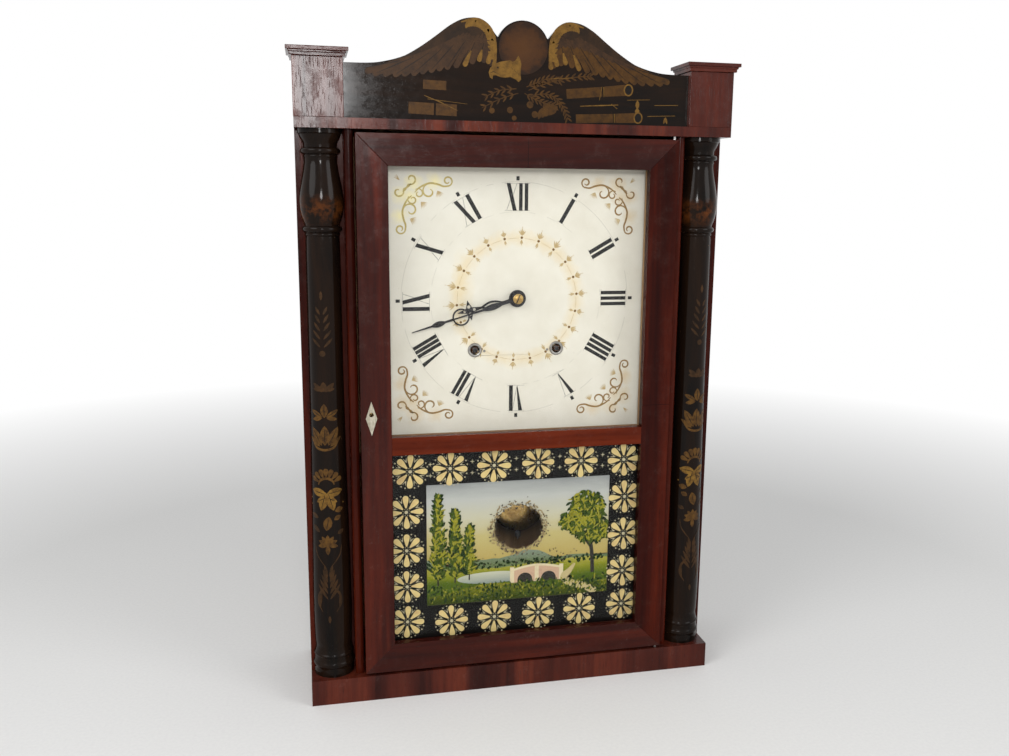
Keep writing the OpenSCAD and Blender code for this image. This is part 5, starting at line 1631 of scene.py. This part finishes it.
BRIGHT_LEAVES = [
    (0, 224, -78, 17, 8.5), (0, 224, 78, 17, 8.5), (0, 221, -118, 12, 5.5), (0, 221, 118, 12, 5.5),
    (-0.5, 226, 196, 20, 9.5), (1.5, 226, 164, 20, 9.0),
]
FLOWER_LEAVES = [
    (0, 274, 0, 20, 9.5), (-3, 274, -30, 21, 8), (3, 274, 30, 21, 8), (-5, 273, -52, 15, 4.6),
    (5, 273, 52, 15, 4.6),
]
BUD_LEAVES = [
    (0, 302, 0, 14, 7.4), (-2, 303, -62, 14, 4.8), (2, 303, 62, 14, 4.8), (-2, 302, -100, 11, 4.5),
    (2, 302, 100, 11, 4.5), (8, 206, 74, 9, 6), (-1, 186, 12, 15, 9), (7, 197, 60, 8, 5),
]
FAINT_LEAVES = [
    (0, 328, 0, 10, 6.5), (-1, 328, -48, 13, 5), (1, 328, 48, 13, 5), (-2, 330, -84, 9, 4),
    (2, 330, 84, 9, 4), (-9, 199, -70, 10, 5), (-8, 184, -52, 11, 5), (10, 182, 62, 8, 4.5),
]
VEINED = BRIGHT_LEAVES + FLOWER_LEAVES[:3] + BUD_LEAVES[:3] + BUD_LEAVES[6:7]
SEPALS = [(-15, 281), (-9, 272), (0, 269.5), (9, 272), (15, 281)]
STAR_AT = (0, 171)
CROWN_AT = (0, 233)


def bright_shapes():
    dots = [disc(x, z, 0.9, 8) for x, z in ((-18.5, 219), (-19, 212), (17.5, 214))]
    return [plump(*spot) for spot in BRIGHT_LEAVES] + dots


def middle_shapes():
    made = [plump(*spot) for spot in FLOWER_LEAVES]
    made.append(stroke(along(SEPALS, 5), 2.4, 0.3, 0.3))
    made += [plump(*spot) for spot in BUD_LEAVES]
    made += [plump(*STAR_AT, angle, 10.5, 4.6) for angle in (-100, -66, -34, 0, 34, 66, 100, 180)]
    for angle in (-64, -42, -20, 0, 20, 42, 64):
        made.append(petal(*polar(CROWN_AT, 9, angle), angle, 8.5, 5, 0.3, 5))
    steps = [a / 10 for a in range(-15, 16, 3)]
    arch = [(CROWN_AT[0] + 8 * math.sin(a), CROWN_AT[1] + 7.5 * math.cos(a)) for a in steps]
    return made + [stroke(arch, 2.6, 0.4, 0.4)]


def faint_shapes():
    made = [plump(*spot) for spot in FAINT_LEAVES]
    for side in (-1, 1):
        for k in range(5):
            made.append(plump(side * 1.0, 113 + 6.0 * k, side * (34 - 5 * k), 19 - 1.4 * k, 3.4))
            made.append(plump(side * 1.5, 372 + 8 * k, side * (44 - 4 * k), 13 - k, 2.6))
        hook = [(side * 3, 128), (side * 11, 118), (side * 12, 108), (side * 7, 99)]
        made.append(stroke(along(hook, 5), 2.0, 0.3, 0.3))
        made.append(stroke(along([(side * 3, 148), (side * 12, 160), (side * 14, 170)], 5), 1.3, 0.4, 0.3))
    return made + [disc(0, 366, 3, 10), plump(0, 418, 0, 9, 3), plump(0, 95, 180, 8, 3)]


STENCIL_TURN = 3.5
RIGHT_RAISE = 2
STENCIL_LIFT = 0.10
VEIN_LIFT = 0.17
STENCILS = [
    ("bright", bright_shapes(), bronze_bright, STENCIL_LIFT),
    ("middle", middle_shapes(), bronze_middle, STENCIL_LIFT),
    ("faint", faint_shapes(), bronze_faint, STENCIL_LIFT),
    ("veins", [vein(*spot[:4]) for spot in VEINED], dark_line, VEIN_LIFT),
]
for side, label in ((-1, "left"), (1, "right")):
    rise = RIGHT_RAISE if side > 0 else 0
    for strength, outlines, material, lift in STENCILS:
        moved = [[(-side * (u - STENCIL_TURN), z + rise) for u, z in outline] for outline in outlines]
        wrapped("stencil_" + label + "_" + strength, moved, side, material, lift)

# %% [markdown]
# The crest has an eagle that spreads its wings into the two humps, over fronds, gun barrels and
# lances. The wings are rows of feathers, each a drop shape from its root to its tip. Earlier rows
# lie further back, and each sheet is 0.05 mm in front of the last.

# %% Crest shapes
CREST_FACE = extent("crest")[0].y
CREST_COAT = 0.05


def crest_coat(name, outlines, layer, material):
    flat_leaf(name, outlines, CREST_FACE - layer * CREST_COAT, material, thick=CREST_COAT * 0.8)


def feather(root, tip, width):
    """A feather from its root to its tip, given as points."""
    return petal(*root, heading(root, tip), math.dist(root, tip), width, 0.3, 6)


def mirrored(outlines):
    return [[(-x, z) for x, z in outline][::-1] for outline in outlines]


WING_TIPS = [
    (28, 638.6), (34, 641.6), (43, 643.5), (57, 638.7), (74.5, 635.6), (90, 632.4), (106.6, 629.2),
    (124, 627.8), (143, 628.4), (157, 632.5),
]
WING_ROOTS = [
    (27.5, 655), (31, 664), (36, 668), (42, 671), (49, 671.5), (57, 669), (66, 664.5), (76, 659),
    (88, 652.5), (101, 645.5),
]
GILT_BAND = [(27.5, 644), (27.5, 656), (29.5, 667), (34, 675), (41.5, 680), (50, 681.2), (60, 678.6)]
dull_bronze = bronze("crest_dull", (0.046, 0.022, 0.0095), (0.022, 0.012, 0.0070), 9.0)
warm_bronze = bronze("crest_warm", (0.066, 0.029, 0.0060), (0.028, 0.013, 0.0045), 7.0)
gold_bronze = bronze("crest_gold", (0.160, 0.082, 0.0150), (0.070, 0.035, 0.0080), 6.0)


def wing():
    """Feathers of the right wing in three rows."""
    long_row = []
    middle_row = []
    short_row = []
    for a, b, c, d in zip(WING_ROOTS, WING_ROOTS[1:], WING_TIPS, WING_TIPS[1:]):
        for share in (0.0, 0.5):
            root = between(a, b, share)
            tip = between(c, d, share)
            long_row.append(feather(between(root, tip, 0.28), tip, 5.6))
            middle_row.append(feather(between(root, tip, 0.08), between(root, tip, 0.62), 5.2))
            short_row.append(feather(root, between(root, tip, 0.34), 4.2))
    return long_row, middle_row, short_row


WING_EDGE = [
    (26, 650), (27.5, 666), (33, 676), (42, 682), (50, 683.2), (60, 681), (71, 675), (83, 666),
    (97, 656), (113, 646.5), (131, 639),
]
WING_FOOT = [(150, 634), (134, 632.5), (112, 635), (90, 639), (70, 643.5), (50, 648.5), (38, 648)]
wing_base = [along(WING_EDGE, 4) + WING_FOOT]
long_row, middle_row, short_row = wing()
quills = []
for root, tip in zip(WING_ROOTS, WING_TIPS):
    line = [between(root, tip, share) for share in (0.3, 0.6, 0.94)]
    quills.append(stroke(line, 0.7, 0.5, 0.3))
deep_bronze = bronze("crest_deep", (0.030, 0.015, 0.0068), (0.013, 0.0075, 0.0045), 12.0)
crest_coat("wing_base", wing_base + mirrored(wing_base), 0, deep_bronze)
crest_coat("wing_long_right", long_row, 1, warm_bronze)
crest_coat("wing_long_left", mirrored(long_row), 1, dull_bronze)
crest_coat("wing_middle_right", middle_row, 2, warm_bronze)
crest_coat("wing_middle_left", mirrored(middle_row), 2, dull_bronze)
crest_coat("wing_short", short_row + mirrored(short_row), 3, dull_bronze)
crest_coat("wing_quills", quills + mirrored(quills), 4, dark_line)

# %% [markdown]
# A band of gilt runs up from the eagle's breast and over each shoulder. Its lower edge breaks into
# small feathers, with a dark hollow behind them. The inner feathers next to the disc are gilt too.

# %% Gilt shoulders and the disc
def shoulder():
    band = along(GILT_BAND, 5)
    inner = [stroke(band, 5.0, 0.6, 0.15)]
    for k in range(2, len(band) - 4, 2):
        way = heading(band[k], band[k + 1])
        inner.append(plump(*band[k], way + 52, 8.5, 3.6))
        inner.append(plump(*band[k], way + 100, 6.5, 3.2))
    for a, c in zip(WING_ROOTS[:4], WING_TIPS[:4]):
        inner.append(feather(between(a, c, 0.55), c, 4.6))
    return inner


def hollow():
    return [plump(38, 672, 78 + 10 * k, 22 - 2.5 * k, 4.6) for k in range(4)]


gilt = shoulder()
crest_coat("wing_hollow", hollow() + mirrored(hollow()), 5, deep_bronze)
crest_coat("shoulder_gilt", gilt + mirrored(gilt), 6, gold_bronze)
DISC_AT = (0.4, 657.4)
DISC_R = 24.2
DISC_TONES = [(0.2, (0.062, 0.024, 0.0065)), (0.7, (0.045, 0.017, 0.0050)), (1.0, (0.018, 0.0075, 0.0032))]


def disc_paint():
    """Bronze that darkens towards the disc's rim."""
    material, tree, shader = new_material("crest_disc", Specular_IOR_Level=0.12)
    centred = place_of(tree, shift=(-DISC_AT[0] * MM, 0, -DISC_AT[1] * MM))
    reach = length_of(tree, vector_maths(tree, "MULTIPLY", centred, (1, 0, 1)))
    cloud = noise(tree, place_of(tree), 70.0, 5.0, 0.7, 0.5)
    blotches = times(tree, minus(tree, cloud, 0.5), 1.3)
    share = plus(tree, spread(tree, reach, 0.0, DISC_R * MM), blotches)
    dress(tree, shader, ramp(tree, share, DISC_TONES), spread(tree, cloud, 0.3, 0.7, 0.3, 0.5))
    return material


crest_coat("crest_disc", [disc(*DISC_AT, DISC_R, 72)], 7, disc_paint())

# %% [markdown]
# Below the wings lie the eagle's head, which looks to the left, and the trophies: barrels with
# ringed mouths, lances, fronds and balls.

# %% Eagle's head, breast and trophies
HEAD = [
    (-4.5, 650.5), (-7.5, 645.8), (-10, 644.8), (-13, 646.0), (-16, 645.4), (-22.3, 644.2), (-28.2, 641.8),
    (-31.8, 638.4), (-33.4, 634.2), (-32.2, 629.6), (-29.6, 628.0), (-29.2, 631.4), (-26.5, 631.8),
    (-22, 630.2), (-17.4, 629.8), (-12, 630.6), (-7, 628.5), (-4, 626.2), (-1.6, 628.5), (-2.2, 636),
    (-1.4, 643), (-3.0, 648),
]
fronds = []
FROND_LINES = [
    [(4, 622), (14, 626.5), (27, 630.5), (38, 628.5)],
    [(6, 619), (24, 626), (42, 631), (60, 633.5), (69, 634)],
    [(-6, 620), (-22, 618), (-38, 611)],
    [(-4, 616), (-22, 610), (-40, 601)],
    [(8, 614), (22, 616), (34, 612), (42, 602), (46, 592)],
    [(2, 616), (12, 611), (24, 607), (34, 605)],
]
for points in FROND_LINES:
    line = along(points, 6)
    fronds.append(stroke(line, 0.9, 0.8, 0.3))
    for k in range(2, len(line) - 1, 2):
        way = heading(line[k], line[k + 1])
        fronds += [plump(*line[k], way - 34, 6.6, 1.7), plump(*line[k], way + 34, 6.6, 1.7)]


def barrel(start, end, half, mouth=0.0):
    """A gun barrel between two points, a little wider at its mouth."""
    size = math.dist(start, end)
    nx = (start[1] - end[1]) / size
    nz = (end[0] - start[0]) / size
    corners = ((start, half), (end, half + mouth), (end, -half - mouth), (start, -half))
    return [(x + nx * out, z + nz * out) for (x, z), out in corners]


def ring_shape(x, z, outer, wide):
    """A ring, seen a little from the side, as one stroke."""
    return stroke(oval((x, z), outer * 0.82, outer, 24, 25), wide, 1.0, 1.0)


BARRELS = [
    ((44, 616.7), (80, 619.9), 4.6), ((82.5, 620.1), (105, 622.2), 4.8, 0.5), ((54, 593.6), (92, 595), 4.2),
    ((94.5, 595.1), (116, 596), 4.4, 0.4), ((-96, 621.2), (-74, 620.6), 4.2),
    ((-110, 599.6), (-86, 598.8), 5.4), ((-84, 598.8), (-64, 598.2), 5.4),
]
BANDS = [
    ([(81.6, 624.4), (82.2, 615)], 0.8, 1, 1), ([(93.2, 599.4), (93.6, 590.8)], 0.8, 1, 1),
    ([(77.6, 612), (79.8, 624.8)], 0.5, 1, 1),
]
LANCES = [
    ([(58, 605.6), (78, 606.8), (97, 607.9)], 1.1, 0.6, 0.6), ([(90, 608.5), (96, 604.2)], 1.0, 0.6, 0.6),
    ([(135, 608.5), (160, 609.3)], 0.9, 0.6, 0.6), ([(128, 597.8), (157, 599)], 0.9, 0.6, 0.6),
    ([(106, 612.8), (130, 613.8)], 0.7, 0.6, 0.6), ([(28, 630.5), (50, 631.8)], 0.8, 0.6, 0.6),
    ([(-95, 611), (-80, 605.5), (-63, 598)], 0.8, 0.6, 0.4), ([(-92, 608), (-54, 604.4)], 0.8, 0.6, 0.4),
]
BALLS = [
    (7.6, 605.5, 3.4, 14), (12.5, 596.5, 3.2, 14), (-12.2, 600, 3.0, 14), (-30, 599, 2.8, 14),
    (-8, 592.6, 2.4, 12),
]
UPPER_MOUTH = (107.2, 622.3)
LOWER_MOUTH = (118.1, 596)
barrels = [barrel(*ends) for ends in BARRELS]
mouths = [disc(*UPPER_MOUTH, 4.6, 20), disc(*LOWER_MOUTH, 4.4, 20)]
rings = [ring_shape(*UPPER_MOUTH, 5.2, 1.4), ring_shape(*LOWER_MOUTH, 5.0, 1.3)]
rings += [stroke(*band) for band in BANDS]
lances = [stroke(*lance) for lance in LANCES]
ties = [plump(117, 613, 180, 9, 4), disc(117, 602.4, 2.4, 10)]
ties += [plump(147, 597.5, 165, 7, 2.2), plump(147, 597.5, 195, 7, 2.2)]
balls = [disc(*ball) for ball in BALLS]
balls += [plump(16 + 3.5 * k, 592 + 1.4 * k, 20 + 8 * k, 12, 5) for k in range(4)]
breast = [plump(26, 596, -20 + 22 * k, 13, 6) for k in range(4)]
crest_coat("crest_barrels", barrels + breast, 0, warm_bronze)
crest_coat("crest_mouths", mouths, 1, dark_line)
crest_coat("crest_fronds", fronds, 1, warm_bronze)
crest_coat("crest_rings", rings + lances + ties, 2, gold_bronze)
crest_coat("crest_balls", balls, 2, warm_bronze)
crest_coat("eagle_head", [HEAD], 8, gold_bronze)
eye = [disc(-24.5, 638.9, 0.9, 10), stroke([(-32.0, 633.4), (-29.0, 635.0), (-26.0, 634.2)], 0.6, 0.4, 0.6)]
for k in range(4):
    start = (-12 + 3 * k, 640 - 2.2 * k)
    eye.append(stroke([start, (start[0] + 2.5, start[1] - 2.6)], 0.6, 0.3, 0.3))
crest_coat("eagle_lines", eye, 9, dark_line)


# %% [markdown]
# The weight cords are three-strand hemp. Each strand winds round the cord's middle line, which
# follows the same route as the CAD: from the drum straight to the pulley in the top board, over
# it and down to the weight's hook. The last length hangs between the case and a weight that
# falls.

# %% Twisted cords
low, high = extent("time_weight_cord")
CORD_R = (high.x - low.x) / 2
CORD_Y = (high.y + low.y) / 2
DROP_X = (high.x + low.x) / 2
DRUM = pivot("time_great_turn")
LAY_MM = 7.0
DRUM_R = 12.0
STRANDS = 3
STRAND_OUT = 0.50
STRAND_R = 0.49
STRAND_SIDES = 6
ACROSS = Vector((0, 1, 0))
CLEAR = 0.1


def circled(side, angle):
    """A direction at an angle about the cord, counted from its side."""
    return math.cos(angle) * side + math.sin(angle) * ACROSS


def closed_tube(bm, rings):
    """Faces between rings of vertices, and one over each end."""
    bm.faces.new(rings[0][::-1])
    for before, ring in zip(rings, rings[1:]):
        for s in range(len(ring)):
            after = (s + 1) % len(ring)
            bm.faces.new((before[s], before[after], ring[after], ring[s]))
    bm.faces.new(rings[-1])


def strand_rings(bm, points, lengths, count, pitch, start):
    """Rings of one strand, which winds round a path from a start angle."""
    rings = []
    index = 0
    for k in range(count + 1):
        run = lengths[-1] * k / count
        while index < len(points) - 2 and lengths[index + 1] < run:
            index += 1
        share = (run - lengths[index]) / (lengths[index + 1] - lengths[index])
        centre = points[index].lerp(points[index + 1], share)
        ahead = (points[min(index + 2, len(points) - 1)] - points[max(index - 1, 0)]).normalized()
        side = ahead.cross(ACROSS)
        wind = run / pitch * math.tau + start
        middle = centre + circled(side, wind) * CORD_R * STRAND_OUT
        turns = [wind + s * math.tau / STRAND_SIDES for s in range(STRAND_SIDES)]
        rings.append([bm.verts.new(middle + circled(side, turn) * CORD_R * STRAND_R) for turn in turns])
    return rings


def cord_mesh(bm, path, pitch, rings_per_turn=10):
    """Strands wound round a path of points in the plane of the cords. Returns its length."""
    points = [Vector((x, CORD_Y, z)) for x, z in path]
    lengths = [0.0]
    for a, b in zip(points, points[1:]):
        lengths.append(lengths[-1] + (b - a).length)
    count = max(8, round(lengths[-1] / pitch * rings_per_turn))
    for strand in range(STRANDS):
        start = strand * math.tau / STRANDS
        closed_tube(bm, strand_rings(bm, points, lengths, count, pitch, start))
    return lengths[-1]


low, high = extent("time_pulley")
PULLEY_AT = ((low.x + high.x) / 2, (low.z + high.z) / 2)
PULLEY_PATH_R = DROP_X - PULLEY_AT[0]
DRUM_AT = (DRUM.x, DRUM.z)
WRAP_R = DRUM_R + CORD_R
reach = math.dist(DRUM_AT, PULLEY_AT)
axis = heading(DRUM_AT, PULLEY_AT)
crossing = math.degrees(math.acos((WRAP_R + PULLEY_PATH_R) / reach))
first = axis + crossing - 180
start = polar(DRUM_AT, WRAP_R + CLEAR, axis + crossing)
end = polar(PULLEY_AT, PULLEY_PATH_R + CLEAR, first)
route = [between(start, end, k / 24) for k in range(24)]
route += [polar(PULLEY_AT, PULLEY_PATH_R + CLEAR, first + (90 - first) * k / 16) for k in range(17)]
bm = bmesh.new()
run_length = cord_mesh(bm, route, LAY_MM)
cord_mesh(bm, [(-x, z) for x, z in route], LAY_MM)
runs = end_in_metres(bm, "twisted_runs", hemp_cord, "case")
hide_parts("cord_runs")
print("cord from drum over pulley:", round(run_length), "mm")

# %% Hanging cords
for label, side in (("time", 1), ("strike", -1)):
    low, high = extent(label + "_weight_cord")
    bm = bmesh.new()
    drop_points = [(side * DROP_X, high.z - (high.z - low.z) * k / 40) for k in range(41)]
    cord_mesh(bm, drop_points, LAY_MM, 14)
    drop = end_in_metres(bm, label + "_hanging_cord", hemp_cord, None)
    top = at(side * DROP_X, CORD_Y, high.z)
    foot = at(side * DROP_X, CORD_Y, low.z)
    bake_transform(drop)
    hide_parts(label + "_weight_cord")

# %% [markdown]
# Small hardware: pine strips press the panes into the door's rebate from behind, two screws hold
# the lock on the door's back, and four nails hold the dial board.

# %% Glazing strips
def strip(name, x0, x1, z0, z1, material):
    """A bar behind the panes with its edges broken."""
    y0 = GLASS_BACK + 0.75
    y1 = y0 + STRIP_DEEP
    bm = bmesh.new()
    bmesh.ops.create_cube(bm, size=1.0)
    bmesh.ops.scale(bm, vec=(x1 - x0, y1 - y0, z1 - z0), verts=bm.verts)
    bmesh.ops.translate(bm, vec=((x0 + x1) / 2, (y0 + y1) / 2, (z0 + z1) / 2), verts=bm.verts)
    bevel_edges(bm, bm.edges[:], 0.5)
    end_in_metres(bm, name, material, "door")


STRIP_DEEP = 3.2
STRIP_GAP = 0.1
for label in ("dial", "tablet"):
    low, high = extent(label + "_glass")
    inner = FRAME_IN + STRIP_GAP
    outer = high.x - STRIP_GAP
    foot = low.z + STRIP_GAP
    top = high.z - STRIP_GAP
    width = outer - inner
    strip(label + "_strip_left", -outer, -inner, foot, top, pine_tall)
    strip(label + "_strip_right", inner, outer, foot, top, pine_tall)
    strip(label + "_strip_foot", -inner, inner, foot, foot + width, pine_long)
    strip(label + "_strip_head", -inner, inner, top - width, top, pine_long)
    print(label, "strips", round(width, 2), "mm wide")


# %% Screws and nails
def slotted(x, z, r, angle):
    """The two half moons of a screw head, on either side of its slot."""
    moons = []
    for side in (-1, 1):
        steps = [math.radians(a) for a in range(-80, 81, 16)]
        arc = [(side * r * math.cos(a), r * math.sin(a)) for a in steps]
        edge = side * r * 0.14
        moons.append(turned(arc + [(edge, r * 0.98), (edge, -r * 0.98)], angle, x, z))
    return moons


lock_low, lock_high = extent("lock_case")
lock_x = (lock_low.x + lock_high.x) / 2
HEAD_R = 2.3
screws = [(lock_x, lock_high.z - 4.5, 30), (lock_x, lock_low.z + 4.5, -20)]
heads = [disc(x, z, HEAD_R, 24) for x, z, turn in screws]
moons = [moon for x, z, turn in screws for moon in slotted(x, z, HEAD_R, turn)]
flat_leaf("lock_screw_heads", heads, lock_high.y + 0.35, grey_steel, "door", 0.34)
flat_leaf("lock_screw_slots", moons, lock_high.y + 0.75, grey_steel, "door", 0.40)

dial_low, dial_high = extent("dial")
bm = bmesh.new()
for x in (-1, 1):
    for z in (dial_low.z + 9, dial_high.z - 9):
        turned_disc(bm, x * (dial_high.x - 8), DIAL_FACE - 1.1, z, 1.9, 1.1, 0.5, 18)
end_in_metres(bm, "dial_nails", black_steel, "case")


# %% Sizes and the end
see_low, see_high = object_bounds()
sizes = {
    "cad_low": [round(v, 5) for v in cad_low],
    "cad_high": [round(v, 5) for v in cad_high],
    "visual_low": [round(v, 5) for v in see_low],
    "visual_high": [round(v, 5) for v in see_high],
}
for name, values in sizes.items():
    print(name, values)
